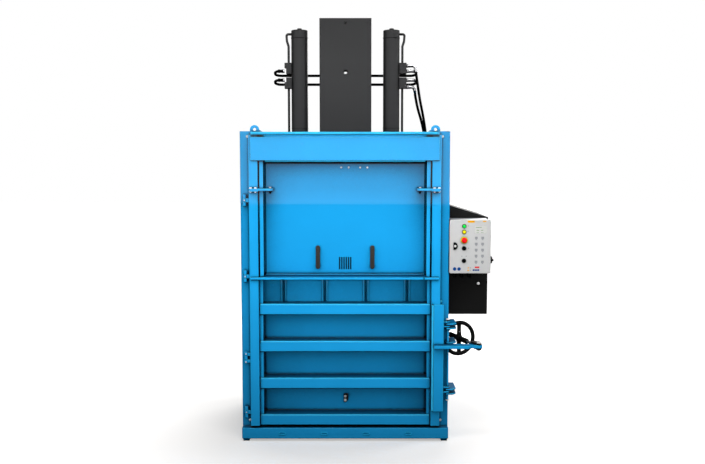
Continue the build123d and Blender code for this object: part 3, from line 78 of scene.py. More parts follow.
soft_lamp(
    "lamp_front", (-0.16, -6.4, 2.1), (-0.16, -0.5, 1.66), (3.2, 0.3), 31.0,
    mirrored=False, spread=43.0,
)
soft_lamp("lamp_high", (-0.16, -2.1, 5.2), (-0.16, -0.4, 1.8), (2.6, 0.8), 55.0)
soft_lamp("lamp_back", (0.9, 3.9, 3.4), (0.0, 0.5, 1.4), (3.0, 1.8), 120.0)
soft_lamp("lamp_right", (3.8, 0.6, 3.0), (0.4, 0.2, 1.3), (1.6, 1.6), 60.0)

# Room. It is white to the eye, in mirrors and through glass, and otherwise gives only a faint warm
# light.
def add_node(tree, kind, *sources, operation=None):
    """Adds a node, links the sources to its first inputs and returns its first output."""
    made = tree.nodes.new(kind)
    if operation:
        made.operation = operation
    for plug, source in enumerate(sources):
        tree.links.new(source, made.inputs[plug])
    return made.outputs[0]


room = bpy.data.worlds.new("room")
room.use_nodes = True
scene.world = room
tree = room.node_tree
tree.nodes.clear()
ray = tree.nodes.new("ShaderNodeLightPath").outputs
pale = tree.nodes.new("ShaderNodeBackground")
pale.inputs["Color"].default_value = (1.0, 0.98, 0.95, 1.0)
pale.inputs["Strength"].default_value = 0.16
white = tree.nodes.new("ShaderNodeBackground")
white.inputs["Color"].default_value = (1.0, 1.0, 1.0, 1.0)
seen = add_node(tree, "ShaderNodeMath", ray["Is Camera Ray"], ray["Is Glossy Ray"], operation="MAXIMUM")
seen = add_node(tree, "ShaderNodeMath", seen, ray["Is Transmission Ray"], operation="MAXIMUM")
either = add_node(tree, "ShaderNodeMixShader", seen, pale.outputs[0], white.outputs[0])
tree.links.new(either, tree.nodes.new("ShaderNodeOutputWorld").inputs[0])

# Floor. White to the eye with the soft shadow of the press on it, and dark to the press itself,
# so that it throws no light up at the paint. It glows more with the distance from the middle, and its
# dimmer glow near the press is a painted shadow round it.
def mapped(tree, source, low, high, to_low=0.0, to_high=1.0):
    """Maps a value from low and high to to_low and to_high, and holds it beyond them."""
    made = tree.nodes.new("ShaderNodeMapRange")
    made.inputs["From Min"].default_value = low
    made.inputs["From Max"].default_value = high
    made.inputs["To Min"].default_value = to_low
    made.inputs["To Max"].default_value = to_high
    tree.links.new(source, made.inputs["Value"])
    return made.outputs[0]


floor_half = 33.2
floor_mesh = bpy.data.meshes.new("floor")
bm = bmesh.new()
bmesh.ops.create_grid(bm, x_segments=1, y_segments=1, size=floor_half)
bm.to_mesh(floor_mesh)
bm.free()
floor = bpy.data.objects.new("floor", floor_mesh)
scene.collection.objects.link(floor)
floor_paint = bpy.data.materials.new("floor")
floor_paint.use_nodes = True
tree = floor_paint.node_tree
tree.nodes.clear()
ray = tree.nodes.new("ShaderNodeLightPath").outputs
away = tree.nodes.new("ShaderNodeVectorMath")
away.operation = "LENGTH"
tree.links.new(tree.nodes.new("ShaderNodeTexCoord").outputs["Object"], away.inputs[0])
glow = tree.nodes.new("ShaderNodeEmission")
tree.links.new(mapped(tree, away.outputs["Value"], 0.9, 2.6, 0.37), glow.inputs["Strength"])
matt = tree.nodes.new("ShaderNodeBsdfDiffuse")
matt.inputs["Color"].default_value = (0.82, 0.80, 0.78, 1.0)
lit = add_node(tree, "ShaderNodeAddShader", glow.outputs[0], matt.outputs[0])
dull = tree.nodes.new("ShaderNodeBsdfDiffuse")
dull.inputs["Color"].default_value = (0.05, 0.05, 0.05, 1.0)
either = add_node(tree, "ShaderNodeMixShader", ray["Is Camera Ray"], dull.outputs[0], lit)
tree.links.new(either, tree.nodes.new("ShaderNodeOutputMaterial").inputs[0])
floor_mesh.materials.append(floor_paint)

# Painted steel of the body: base, posts, walls, ribs and top frame. The sheets are cut, folded and
# welded, then powder coated in a bright blue with a fine skin like that of an orange.
def product(tree, first, *others):
    """Multiplies values one after another."""
    for other in others:
        first = add_node(tree, "ShaderNodeMath", first, other, operation="MULTIPLY")
    return first


def scaled(tree, colour, factor):
    """Makes a colour lighter or darker by a factor."""
    made = tree.nodes.new("ShaderNodeVectorMath")
    made.operation = "SCALE"
    tree.links.new(colour, made.inputs[0])
    tree.links.new(factor, made.inputs["Scale"])
    return made.outputs[0]


def noise(tree, place, scale, detail):
    made = tree.nodes.new("ShaderNodeTexNoise")
    made.inputs["Scale"].default_value = scale
    made.inputs["Detail"].default_value = detail
    tree.links.new(place, made.inputs["Vector"])
    return made.outputs["Fac"]


coat = bpy.data.node_groups.new("powder_coat", "ShaderNodeTree")
for socket, kind, value in (
    ("Colour", "NodeSocketColor", (0.05, 0.3, 0.6, 1.0)),
    ("Highlight colour", "NodeSocketColor", (0.2, 0.5, 0.8, 1.0)),
    ("Roughness", "NodeSocketFloat", 0.3),
    ("Peel", "NodeSocketFloat", 0.12),
    ("Dust and top light", "NodeSocketFloat", 0.02),
    ("Painted shade", "NodeSocketFloat", 1.0),
):
    made = coat.interface.new_socket(socket, in_out="INPUT", socket_type=kind)
    made.default_value = value
for socket, kind in (
    ("Color", "NodeSocketColor"),
    ("Roughness", "NodeSocketFloat"),
    ("Gloss", "NodeSocketFloat"),
    ("Normal", "NodeSocketVector"),
):
    coat.interface.new_socket(socket, in_out="OUTPUT", socket_type=kind)
given = coat.nodes.new("NodeGroupInput").outputs
out = coat.nodes.new("NodeGroupOutput").inputs
where = coat.nodes.new("ShaderNodeTexCoord").outputs["Object"]
flat = coat.nodes.new("ShaderNodeNewGeometry").outputs["Normal"]
rounding = coat.nodes.new("ShaderNodeBevel")
rounding.samples = 4
rounding.inputs["Radius"].default_value = 0.006
soft = rounding.outputs[0]
tilt = coat.nodes.new("ShaderNodeSeparateXYZ")
coat.links.new(soft, tilt.inputs[0])
facing = coat.nodes.new("ShaderNodeSeparateXYZ")
coat.links.new(flat, facing.inputs[0])
facing_up = facing.outputs["Z"]

# Painted highlight on the edges of the paint: paler where the rounded normal leaves the flat one, in
# patches, and most on edges that face up into the light.
bright = scaled(coat, given["Colour"], mapped(coat, noise(coat, where, 2.3, 5.0), 0.0, 1.0, 0.90, 1.10))
along = coat.nodes.new("ShaderNodeVectorMath")
along.operation = "DOT_PRODUCT"
coat.links.new(soft, along.inputs[0])
coat.links.new(flat, along.inputs[1])
rim = mapped(coat, along.outputs["Value"], 0.985, 0.90)
speck = noise(coat, where, 38.0, 6.0)
patchy = mapped(coat, speck, 0.35, 0.65, 0.55)
lit_from_above = mapped(coat, tilt.outputs["Z"], -0.30, 0.50, 0.15)
edge_highlight = coat.nodes.new("ShaderNodeMix")
edge_highlight.data_type = "RGBA"
coat.links.new(product(coat, rim, patchy, lit_from_above), edge_highlight.inputs["Factor"])
coat.links.new(bright, edge_highlight.inputs[6])
coat.links.new(given["Highlight colour"], edge_highlight.inputs[7])

# Dust that lies on level faces, which on the black paint is mostly a painted highlight, and painted
# shade: darker in corners, in deep hollows, more under things than over them, on edges that face
# down and on faces that look up.
top_dust_and_light = product(coat, mapped(coat, facing_up, 0.4, 1.0), given["Dust and top light"], patchy)
dust_and_light_mix = coat.nodes.new("ShaderNodeMix")
dust_and_light_mix.data_type = "RGBA"
dust_and_light_mix.inputs[7].default_value = (0.42, 0.41, 0.39, 1.0)
coat.links.new(top_dust_and_light, dust_and_light_mix.inputs["Factor"])
coat.links.new(edge_highlight.outputs[2], dust_and_light_mix.inputs[6])
corner = coat.nodes.new("ShaderNodeAmbientOcclusion")
corner.samples = 6
corner.inputs["Distance"].default_value = 0.024
hollow = coat.nodes.new("ShaderNodeAmbientOcclusion")
hollow.samples = 8
hollow.inputs["Distance"].default_value = 0.30
lean = coat.nodes.new("ShaderNodeVectorMath")
lean.operation = "ADD"
lean.inputs[1].default_value = (0.0, 0.0, 0.9)
coat.links.new(flat, lean.inputs[0])
skyward = add_node(coat, "ShaderNodeVectorMath", lean.outputs[0], operation="NORMALIZE")
coat.links.new(skyward, hollow.inputs["Normal"])
corner_shade = mapped(coat, corner.outputs["AO"], 0.52, 0.88)
depth = mapped(coat, hollow.outputs["AO"], 0.20, 0.78, 0.18)
below = mapped(coat, tilt.outputs["Z"], -0.40, -0.06, 0.10)
above = mapped(coat, facing_up, 0.5, 1.0, 1.0, 0.60)
shade_mix = coat.nodes.new("ShaderNodeMix")
shade_mix.inputs[2].default_value = 1.0
coat.links.new(given["Painted shade"], shade_mix.inputs[0])
coat.links.new(product(coat, corner_shade, depth, below, above), shade_mix.inputs[3])
coat.links.new(scaled(coat, dust_and_light_mix.outputs[2], shade_mix.outputs[0]), out["Color"])

# Roughness, gloss of the upright faces and the fine skin of the paint.
rougher = coat.nodes.new("ShaderNodeMath")
rougher.operation = "ADD"
rougher.use_clamp = True
sheen = mapped(coat, speck, 0.0, 1.0, 0.75, 1.35)
coat.links.new(product(coat, given["Roughness"], sheen), rougher.inputs[0])
coat.links.new(top_dust_and_light, rougher.inputs[1])
coat.links.new(rougher.outputs[0], out["Roughness"])
coat.links.new(mapped(coat, facing_up, 0.2, 0.8, 1.0, 0.02), out["Gloss"])
skin = coat.nodes.new("ShaderNodeBump")
skin.inputs["Distance"].default_value = 0.0006
coat.links.new(given["Peel"], skin.inputs["Strength"])
coat.links.new(noise(coat, where, 420.0, 2.0), skin.inputs["Height"])
coat.links.new(soft, skin.inputs["Normal"])
coat.links.new(skin.outputs[0], out["Normal"])


def painted(
    name, colour, highlight_colour, roughness=0.28, peel_height=0.12, dust_and_top_light=0.03,
    metallic=0.0, specular=0.5, lacquer=False, shade_amount=1.0,
):
    """A finish of the coat group. Lacquer is a clear smooth layer that faces looking up have lost."""
    paint = bpy.data.materials.new(name)
    paint.use_nodes = True
    shader = paint.node_tree.nodes["Principled BSDF"]
    shader.inputs["Metallic"].default_value = metallic
    shader.inputs["Specular IOR Level"].default_value = specular
    skin_of = paint.node_tree.nodes.new("ShaderNodeGroup")
    skin_of.node_tree = coat
    for socket, value in (
        ("Colour", (*colour, 1.0)),
        ("Highlight colour", (*highlight_colour, 1.0)),
        ("Roughness", roughness),
        ("Peel", peel_height),
        ("Dust and top light", dust_and_top_light),
        ("Painted shade", shade_amount),
    ):
        skin_of.inputs[socket].default_value = value
    for plug, socket in (("Color", "Base Color"), ("Roughness", "Roughness"), ("Normal", "Normal")):
        paint.node_tree.links.new(skin_of.outputs[plug], shader.inputs[socket])
    if lacquer:
        shader.inputs["Coat Roughness"].default_value = 0.02
        paint.node_tree.links.new(skin_of.outputs["Gloss"], shader.inputs["Coat Weight"])
    return paint


def dress(material, *names):
    for name in names:
        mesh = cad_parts[name].data
        mesh.materials.clear()
        mesh.materials.append(material)


blue_finish = {"roughness": 0.5, "peel_height": 0.05, "dust_and_top_light": 0.0, "specular": 0.03}
blue = painted("blue_coat", (0.012, 0.366, 0.795), (0.09, 0.75, 1.0), lacquer=True, **blue_finish)
# The posts, walls and ribs take a darker copy of the same blue, a painted shade on them.
shaded_blue = painted(
    "shaded_blue_coat", (0.0095, 0.295, 0.640), (0.08, 0.68, 1.0), lacquer=True, **blue_finish
)
dress(blue, "base_frame", "lifting_lugs", "top_rails", "top_beams", "lock_ears", "spindle_fork")
dress(shaded_blue, "posts", "side_walls", "rear_wall", "wall_ribs")

# Places. Sizes on the press are in millimetres from the middle of the body, the front plane of the
# door and the floor, and spot() turns them into places in the frame.
base_low, base_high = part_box("base_frame")
middle_x = (base_low[0] + base_high[0]) / 2
front_y = base_low[1]
base_top = 95.0
post_front = 45.0
toward_front = Vector((0, -1, 0))
upward = Vector((0, 0, 1))
downward = Vector((0, 0, -1))


def spot(x, y, z):
    return Vector((middle_x + x / 1000, front_y + y / 1000, z / 1000))


def put(name, bm, material, body, replaced=(), sharp=35.0):
    """Makes a piece of the mesh, smooth apart from sharp edges, and lets it ride on its body."""
    bmesh.ops.recalc_face_normals(bm, faces=bm.faces)
    mesh = bpy.data.meshes.new(name)
    bm.to_mesh(mesh)
    bm.free()
    mesh.materials.append(material)
    mesh.shade_smooth()
    mesh.set_sharp_from_angle(angle=math.radians(sharp))
    made = bpy.data.objects.new(name, mesh)
    scene.collection.objects.link(made)
    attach(made, body)
    if replaced:
        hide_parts(*replaced)


# Weld beads of the body, rippled along their length and painted over with the rest. They run where
# posts, lugs, ears and ribs meet what carries them.
def join(bm, part):
    """Adds a part that was made on its own to the mesh of a piece."""
    mesh = bpy.data.meshes.new("part")
    part.to_mesh(mesh)
    part.free()
    bm.from_mesh(mesh)
    bpy.data.meshes.remove(mesh)


def standing(place, axis):
    """Takes a part from the origin to place and turns its own Z along the axis."""
    return Matrix.Translation(place) @ Vector(axis).to_track_quat("Z", "Y").to_matrix().to_4x4()


def weld(bm, start, end, radius=3.0):
    ripple = 0.004
    waist = 0.78
    part = bmesh.new()
    run = end - start
    steps = max(4, int(run.length / ripple))
    ring = bmesh.ops.create_circle(part, cap_ends=True, segments=8, radius=radius / 1000)["verts"]
    faces = list({face for vert in ring for face in vert.link_faces})
    step = Vector((0, 0, run.length / steps))
    bmesh.ops.spin(part, geom=faces, cent=(0, 0, 0), axis=(0, 0, 1), dvec=step, angle=0.0, steps=steps)
    for vert in part.verts:
        if round(vert.co.z / step.z) % 2:
            vert.co.x *= waist
            vert.co.y *= waist
    bmesh.ops.transform(part, matrix=standing(start, run), space=Matrix.Identity(4), verts=part.verts)
    join(bm, part)


post_inner, post_outer = 606, 732
rear_posts = 960
rib_front = 165
rib_half = 30
bm = bmesh.new()
for side in (-1, 1):
    for y in (post_front, rear_posts):
        weld(bm, spot(side * post_inner, y, base_top), spot(side * post_outer, y, base_top))
    for y in (96, 114):
        weld(bm, spot(side * 641, y, 2205), spot(side * 669, y, 2205))
    for rib in (200.5, 449.2, 940.8, 1239.3, 1559.6):
        for z in (rib - rib_half, rib + rib_half):
            for y in (rib_front, rear_posts):
                weld(bm, spot(side * 734, y, z), spot(side * 612, y, z), 2.5)
for ear in (343, 376, 711, 813, 845):
    for z in (ear, ear + 10):
        weld(bm, spot(714, post_front, z), spot(735, post_front, z), 2.2)
for plate in (663, 719):
    weld(bm, spot(post_inner, 428, plate), spot(post_inner, 470, plate), 2.5)
for side in (-1, 1):
    weld(bm, spot(side * 194, 495, 2182), spot(side * 194, 625, 2182))
weld(bm, spot(-186, 487, 2182), spot(186, 487, 2182))
put("body_welds", bm, blue, "frame")

# Strap outlets in the front of the base: a pressed collar round each hole, and a sloped plate behind
# that turns the strap upwards. Both are in a lighter copy of the blue, a painted highlight.
def only(kind, made):
    """What is of one kind among what a mesh operation made."""
    return [item for item in made if isinstance(item, kind)]


strap_lanes = (-450, -150, 150, 450)
outlet_level = 54
outlet_radius = 9.0
outlet_straight = 14.0
collar_thick = 0.0042
collar_y = 2
plate_corners = ((-32, 8, 40), (32, 8, 40), (32, 16, 88), (-32, 16, 88))
bm = bmesh.new()
for lane in strap_lanes:
    start = spot(lane - outlet_straight, collar_y, outlet_level + outlet_radius)
    stand = Matrix.Translation(start) @ Matrix.Rotation(math.pi / 2, 4, "Y")
    bar = bmesh.ops.create_circle(bm, segments=10, radius=collar_thick, matrix=stand)
    edges = list({edge for vert in bar["verts"] for edge in vert.link_edges})
    for go in (outlet_straight, -outlet_straight):
        made = bmesh.ops.extrude_edge_only(bm, edges=edges)["geom"]
        bmesh.ops.translate(bm, verts=only(bmesh.types.BMVert, made), vec=(2 * go / 1000, 0, 0))
        edges = [edge for edge in only(bmesh.types.BMEdge, made) if len(edge.link_faces) == 1]
        centre = spot(lane + go, collar_y, outlet_level)
        made = bmesh.ops.spin(bm, geom=edges, cent=centre, axis=(0, 1, 0), angle=math.pi, steps=12)
        edges = only(bmesh.types.BMEdge, made["geom_last"])
    plate = [bm.verts.new(spot(lane + x, y, z)) for x, y, z in plate_corners]
    made = bmesh.ops.extrude_face_region(bm, geom=[bm.faces.new(plate)])["geom"]
    bmesh.ops.translate(bm, verts=only(bmesh.types.BMVert, made), vec=(0, 0.002, -0.002))
bmesh.ops.remove_doubles(bm, verts=bm.verts, dist=1e-5)
outlet_highlight_blue = painted("outlet_highlight_coat", (0.010, 0.43, 0.93), (0.06, 0.80, 1.0), shade_amount=0.45, **blue_finish)
put("outlet_collars", bm, outlet_highlight_blue, "frame")

# Screws of the body: dome heads with a six-sided socket, each on a washer. Two on each front post are
# zinc plated, and one beside the lock bar is in a lighter copy of the body's blue, a painted highlight.
def turned(bm, profile, place, axis, steps=32):
    """Turns a profile of (distance along the axis, radius) pairs about an axis through place."""
    part = bmesh.new()
    points = [part.verts.new((radius / 1000, 0.0, along / 1000)) for along, radius in profile]
    edges = [part.edges.new(pair) for pair in zip(points, points[1:])]
    bmesh.ops.spin(
        part, geom=points + edges, cent=(0, 0, 0), axis=(0, 0, 1), angle=math.tau,
        steps=steps, use_merge=True,
    )
    bmesh.ops.remove_doubles(part, verts=part.verts, dist=1e-6)
    bmesh.ops.transform(part, matrix=standing(place, axis), space=Matrix.Identity(4), verts=part.verts)
    join(bm, part)


steel = painted(
    "zinc_steel", (0.52, 0.53, 0.55), (0.75, 0.75, 0.77),
    roughness=0.22, peel_height=0.04, metallic=1.0, shade_amount=0.4,
)
# Zinc plated parts in a near-white colour, a painted glint of their plating.
zinc_glint = painted(
    "zinc_glint", (0.90, 0.90, 0.90), (0.95, 0.95, 0.95),
    roughness=0.3, peel_height=0.05, metallic=0.1, shade_amount=0.15,
)
# A lighter copy of the body's blue for rounded bars and edges, a painted highlight of the light they
# catch.
highlight_blue = painted(
    "highlight_blue_coat", (0.035, 0.56, 1.0), (0.10, 0.85, 1.0),
    roughness=0.4, peel_height=0.05, dust_and_top_light=0.0, specular=0.1, shade_amount=0.6,
)
dome = (
    (0, 0), (0, 9.5), (1.2, 9.5), (1.6, 8.0), (4.5, 7.0), (6.4, 5.0),
    (7.0, 3.6), (7.0, 3.4), (4.5, 3.2), (4.5, 0),
)
bm = bmesh.new()
for x in (-684, 684):
    for z in (141, 2168):
        turned(bm, dome, spot(x, post_front, z), toward_front, steps=24)
put("post_screws", bm, zinc_glint, "frame", ["frame_screws"])
bm = bmesh.new()
turned(bm, dome, spot(682, post_front, 1003), toward_front, steps=24)
put("painted_screw", bm, highlight_blue, "frame")

# Skids under the base, in the blue of the body, each with a black rubber strip between it and the
# base, a painted shade of the gap there.
def oblong(left, right, low, high):
    """Corners of a rectangle, as pairs."""
    return [(left, low), (right, low), (right, high), (left, high)]


def slab(bm, corners, depth, edge=0.0, segments=2):
    """A plate: an outline of places drawn out along depth, with rounded edges."""
    part = bmesh.new()
    near = [part.verts.new(corner) for corner in corners]
    made = bmesh.ops.extrude_face_region(part, geom=[part.faces.new(near)])["geom"]
    bmesh.ops.translate(part, verts=only(bmesh.types.BMVert, made), vec=depth)
    if edge:
        caps = [item for item in part.edges if (item.verts[0] in near) == (item.verts[1] in near)]
        bmesh.ops.bevel(
            part, geom=caps, offset=edge / 1000, segments=segments, profile=0.5,
            affect="EDGES", material=-1,
        )
    join(bm, part)


dress(blue, "skids")
rubber = painted(
    "black_rubber", (0.008, 0.008, 0.008), (0.02, 0.02, 0.02),
    roughness=0.6, peel_height=0.3, specular=0.03,
)
bm = bmesh.new()
for side in (-1, 1):
    corners = [spot(side * x, y, 11.5) for x, y in oblong(683.5, 731.5, 6.5, 1073.5)]
    slab(bm, corners, Vector((0, 0, 0.0063)), edge=1.0)
put("skid_strips", bm, rubber, "frame")

# Door: stiles, header, beams, rails and shelf in the same blue as the body, with the flat panel
# behind the beams. Weld beads join the beams to stiles and panel, and the header to the stiles.
dress(blue, "door_stiles", "door_header", "door_beams", "door_panel", "gate_rails", "sill_shelf")
dress(blue, "stop_bars")
beam_levels = (146.5, 413.3, 680.2, 947.0)
beam_rise = 38
bm = bmesh.new()
for side in (-1, 1):
    for beam in beam_levels:
        weld(bm, spot(side * 604.5, 28, beam - 35), spot(side * 604.5, 28, beam + 35), 2.2)
        weld(bm, spot(side * 582, 60, beam + beam_rise), spot(side * 582, 146, beam + beam_rise), 2.2)
    weld(bm, spot(side * 658.5, 0, 2004), spot(side * 658.5, 0, 2160), 2.2)
    weld(bm, spot(side * 612, 0, 1181), spot(side * 656, 0, 1181), 2.0)
for beam in beam_levels[:3]:
    weld(bm, spot(-578, 149, beam + beam_rise), spot(578, 149, beam + beam_rise), 2.2)
put("door_welds", bm, blue, "door")

# Rounded bars along the front edges of the door: a nosing welded to its top lip, and the rolled lip
# of each beam, where the sheet is folded back. Both are in a lighter copy of the blue, a painted
# highlight where light falls on their round fronts.
def rod(length, radius, end_radius, end_length):
    """Profile of a round bar with broken ends."""
    start = ((0, 0), (0, end_radius), (end_length, radius))
    return start + ((length - end_length, radius), (length, end_radius), (length, 0))


lip_half = 650.0
bm = bmesh.new()
turned(bm, rod(2 * lip_half, 10.2, 7, 3), spot(-lip_half, -8, 2188), (1, 0, 0), steps=20)
put("lip_nosing", bm, highlight_blue, "door")
beam_half = 601.0
bm = bmesh.new()
for beam in beam_levels:
    place = spot(-beam_half, 26.5, beam + beam_rise - 2.5)
    turned(bm, rod(2 * beam_half, 6.6, 4.6, 2), place, (1, 0, 0), steps=16)
put("beam_lips", bm, highlight_blue, "door")

# Wiper of the gate: a flat bar welded between the rails behind the header, with a black rubber strip
# clamped under it.
def spots(y, pairs):
    """Places at the depth y, from (x, z) pairs."""
    return [spot(x, y, z) for x, z in pairs]


wiper_half = 570
bm = bmesh.new()
slab(bm, spots(116, oblong(-wiper_half, wiper_half, 1991, 2006)), Vector((0, 0.008, 0)), edge=1.0)
# The bar is in the lighter copy of the blue, a painted highlight.
put("wiper_bar", bm, highlight_blue, "door")
bm = bmesh.new()
slab(bm, spots(118, oblong(-wiper_half, wiper_half, 1979, 1992)), Vector((0, 0.005, 0)), edge=0.8)
put("wiper_strip", bm, rubber, "door")

# Hinges: turned steel knuckles with rounded ends on a common pin, welded to the post and the door and
# painted with them, with a zinc plated grease nipple in each.
dress(blue, "hinge_bodies", "hinge_knuckles")
nipple = (
    (0, 0), (0, 4.5), (2.4, 4.5), (2.8, 2.6), (4.5, 2.6), (5.6, 3.6), (6.8, 3.0), (7.4, 1.2), (7.4, 0),
)
bm = bmesh.new()
for z in (209, 574, 632, 1186, 1723):
    turned(bm, nipple, spot(-704, 2.4, z), toward_front, steps=16)
put("grease_nipples", bm, zinc_glint, "door")

# Bolts of the door: two through each gate stop with nuts below, one over each rubber cone and two in
# the panel hook.
def hexagon(bm, place, axis, radius, height, edge=0.8):
    """A six-sided head or nut with broken edges."""
    part = bmesh.new()
    axis = Vector(axis)
    stand = standing(place + axis * height / 2000, axis)
    bmesh.ops.create_cone(
        part, cap_ends=True, segments=6, radius1=radius / 1000, radius2=radius / 1000,
        depth=height / 1000, matrix=stand,
    )
    bmesh.ops.bevel(
        part, geom=part.edges[:], offset=edge / 1000, segments=2, profile=0.5,
        affect="EDGES", material=-1,
    )
    join(bm, part)


washer = ((0, 0), (0, 10.5), (1.5, 10.5), (1.5, 0))
shank_end = ((0, 0), (0, 4), (3, 4), (4, 3), (4, 0))
bm = bmesh.new()
for side in (-1, 1):
    for x in (624.6, 658.0):
        turned(bm, washer, spot(side * x, -12, 1806), upward, steps=24)
        hexagon(bm, spot(side * x, -12, 1807.5), upward, 9.0, 6.5)
        turned(bm, washer, spot(side * x, -12, 1790), downward, steps=24)
        hexagon(bm, spot(side * x, -12, 1788.5), downward, 9.0, 7.0)
        turned(bm, shank_end, spot(side * x, -12, 1781.5), downward, steps=16)
    hexagon(bm, spot(side * 532, 102, 1806), upward, 8.5, 7.0)
for z in (258, 286):
    turned(bm, dome, spot(0, 144, z), toward_front, steps=20)
put("door_bolts", bm, zinc_glint, "door", ["door_screws"])

# Rubber cones that catch the gate, each held by the bolt above it, and the black coated hook that is
# bolted to the lowest panel.
# On the black paint the grey on faces that look up is partly dust and mostly a painted highlight of the
# light that falls on its top faces.
black_coat = painted(
    "black_coat", (0.009, 0.009, 0.009), (0.04, 0.04, 0.04),
    roughness=0.34, dust_and_top_light=0.22, specular=0.12,
)
dress(rubber, "stop_cones")
dress(black_coat, "panel_hook")

# Gate: a folded sheet in the blue of the door that slides in the rails, with four zinc plated screw
# heads near its top. Its blue is a darker copy of the door's, a painted shade of its recess behind the
# header and stiles.
shaded_gate_blue = painted("shaded_gate_coat", (0.010, 0.322, 0.708), (0.08, 0.70, 1.0), lacquer=True, **blue_finish)
dress(shaded_gate_blue, "gate_panel")
flat_dome = ((0, 0), (0, 6.5), (1.0, 6.5), (3.0, 5.2), (3.8, 3.0), (3.8, 0))
bm = bmesh.new()
for x in (-27, 26, 107, 158):
    turned(bm, flat_dome, spot(x, 125, 1951), toward_front, steps=20)
put("gate_bolts", bm, zinc_glint, "gate", ["gate_screws"])

# Gate handles: moulded grips of dark plastic with round ends, each screwed to the gate on two short
# feet.
def rounded(x, z, width, height, radius, steps=6):
    """Corners of an upright rectangle with round corners, as (x, z) pairs."""
    corners = []
    for quarter, across, up in ((0, 1, 1), (1, -1, 1), (2, -1, -1), (3, 1, -1)):
        for step in range(steps + 1):
            angle = (quarter + step / steps) * math.pi / 2
            corner_x = x + across * (width / 2 - radius) + radius * math.cos(angle)
            corners.append((corner_x, z + up * (height / 2 - radius) + radius * math.sin(angle)))
    return corners


grip_plastic = painted(
    "grip_plastic", (0.030, 0.026, 0.022), (0.07, 0.06, 0.055),
    roughness=0.42, peel_height=0.15, specular=0.4,
)
handle_x, handle_z = 194, 1312
foot = ((-2, 0), (-2, 12), (0, 12.5), (4, 11), (16, 10), (24, 11), (24, 0))
bm = bmesh.new()
for side in (-1, 1):
    grip = spots(103, rounded(side * handle_x, handle_z, 30, 170, 14.9))
    slab(bm, grip, Vector((0, -0.017, 0)), edge=5.0, segments=4)
    for end in (-1, 1):
        turned(bm, foot, spot(side * handle_x, 125, handle_z + end * 62), toward_front, steps=20)
put("gate_grips", bm, grip_plastic, "gate", ["gate_handles"])

# Vent of the gate: a black pad behind the slots, a painted shade that keeps them dark, and a thin
# black edging on both sides of each of the six slots, painted shade that widens their dark lines.
vent_z = 1266
slot_pitch = 16.0
slot_half = 3.2
bm = bmesh.new()
slab(bm, spots(138.5, rounded(0, vent_z, 110, 112, 6)), Vector((0, 0.0045, 0)), edge=1.0)
for from_middle in (-2.5, -1.5, -0.5, 0.5, 1.5, 2.5):
    for side in (-1, 1):
        edge_x = from_middle * slot_pitch + side * slot_half
        edging = spots(124.9, rounded(edge_x, vent_z, 1.8, 88, 0.8, steps=2))
        slab(bm, edging, Vector((0, -0.0012, 0)))
put("vent_shade", bm, rubber, "gate")

# Lock of the door: a painted bar with hooks, an arm that carries the spindle's bolt and a pivot
# shaft. The bolt and the caps of the shaft are zinc plated.
dress(blue, "lock_bar", "lock_arm")
bolt_x, bolt_y = 942.5, -38.0
pivot_x, pivot_y = 727, -5
bolt_washer = ((0, 0), (0, 15.5), (2, 15.5), (2, 0))
top_cap = ((-1, 0), (-1, 13), (5, 13), (7.4, 11), (8, 8), (8, 0))
low_cap = ((-1, 0), (-1, 10.5), (5, 10.5), (7.4, 8), (8, 5), (8, 0))
bm = bmesh.new()
turned(bm, bolt_washer, spot(bolt_x, bolt_y, 718.5), upward, steps=28)
hexagon(bm, spot(bolt_x, bolt_y, 720.5), upward, 14.5, 12.0, edge=1.4)
turned(bm, bolt_washer, spot(bolt_x, bolt_y, 673.5), downward, steps=28)
hexagon(bm, spot(bolt_x, bolt_y, 671.5), downward, 13.0, 8.0, edge=1.4)
turned(bm, ((0, 7.8), (47, 7.8)), spot(bolt_x, bolt_y, 672.5), upward, steps=24)
turned(bm, top_cap, spot(pivot_x, pivot_y, 881), upward)
turned(bm, low_cap, spot(pivot_x, pivot_y, 306), downward)
put("arm_bolts", bm, zinc_glint, "lock", ["lock_bolts"])

# Nose of the lock bar: a round steel rod that is welded along its free edge and presses on the door,
# in a lighter copy of the blue that paints the highlight on its round front.
bm = bmesh.new()
turned(bm, rod(757, 7.6, 6.0, 2.0), spot(617, -31, 230), upward, steps=24)
put("lock_nose", bm, highlight_blue, "lock")

# Screw spindle. Its axis starts at the bolt in the lock arm and runs back to the fork on the wall.
# A clevis holds the bolt, and rubber bellows keep the thread clean.
spindle_start = spot(bolt_x, bolt_y, 696.0)
spindle_tilt = math.radians(20.57)
spindle_way = Vector((-math.sin(spindle_tilt), math.cos(spindle_tilt), 0.0))
dress(black_coat, "spindle_clevis")
dress(steel, "spindle_shaft")


def fold_profile(start, end, folds):
    """Soft folds between start and end along the spindle."""
    neck = 9.2
    valley = 13.6
    rise = 6.2
    steps = folds * 12
    profile = [(start, neck)]
    for i in range(steps + 1):
        swing = 0.5 - 0.5 * math.cos(i / 12 * math.tau)
        profile.append((start + (end - start) * i / steps, valley + rise * swing ** 0.7))
    return profile + [(end, neck)]


bm = bmesh.new()
for start, end in ((172.0, 269.0), (329.0, 450.0)):
    turned(bm, fold_profile(start, end, 7), spindle_start, spindle_way, steps=40)
    for clamp in (start + 3, end - 3):
        band = ((clamp - 4, 14.5), (clamp - 3.4, 15.6), (clamp + 3.4, 15.6), (clamp + 4, 14.5))
        turned(bm, band, spindle_start, spindle_way)
put("bellows", bm, rubber, "spindle", ["spindle_bellows"], sharp=60.0)

root, crest = 8.9, 10.2
thread = [(84.0, root)]
for k in range(17):
    at = 86 + k * 5
    thread += [(at, root), (at + 1, crest), (at + 2.6, crest), (at + 3.6, root)]
bm = bmesh.new()
turned(bm, thread, spindle_start, spindle_way, steps=28)
put("spindle_thread", bm, steel, "spindle")

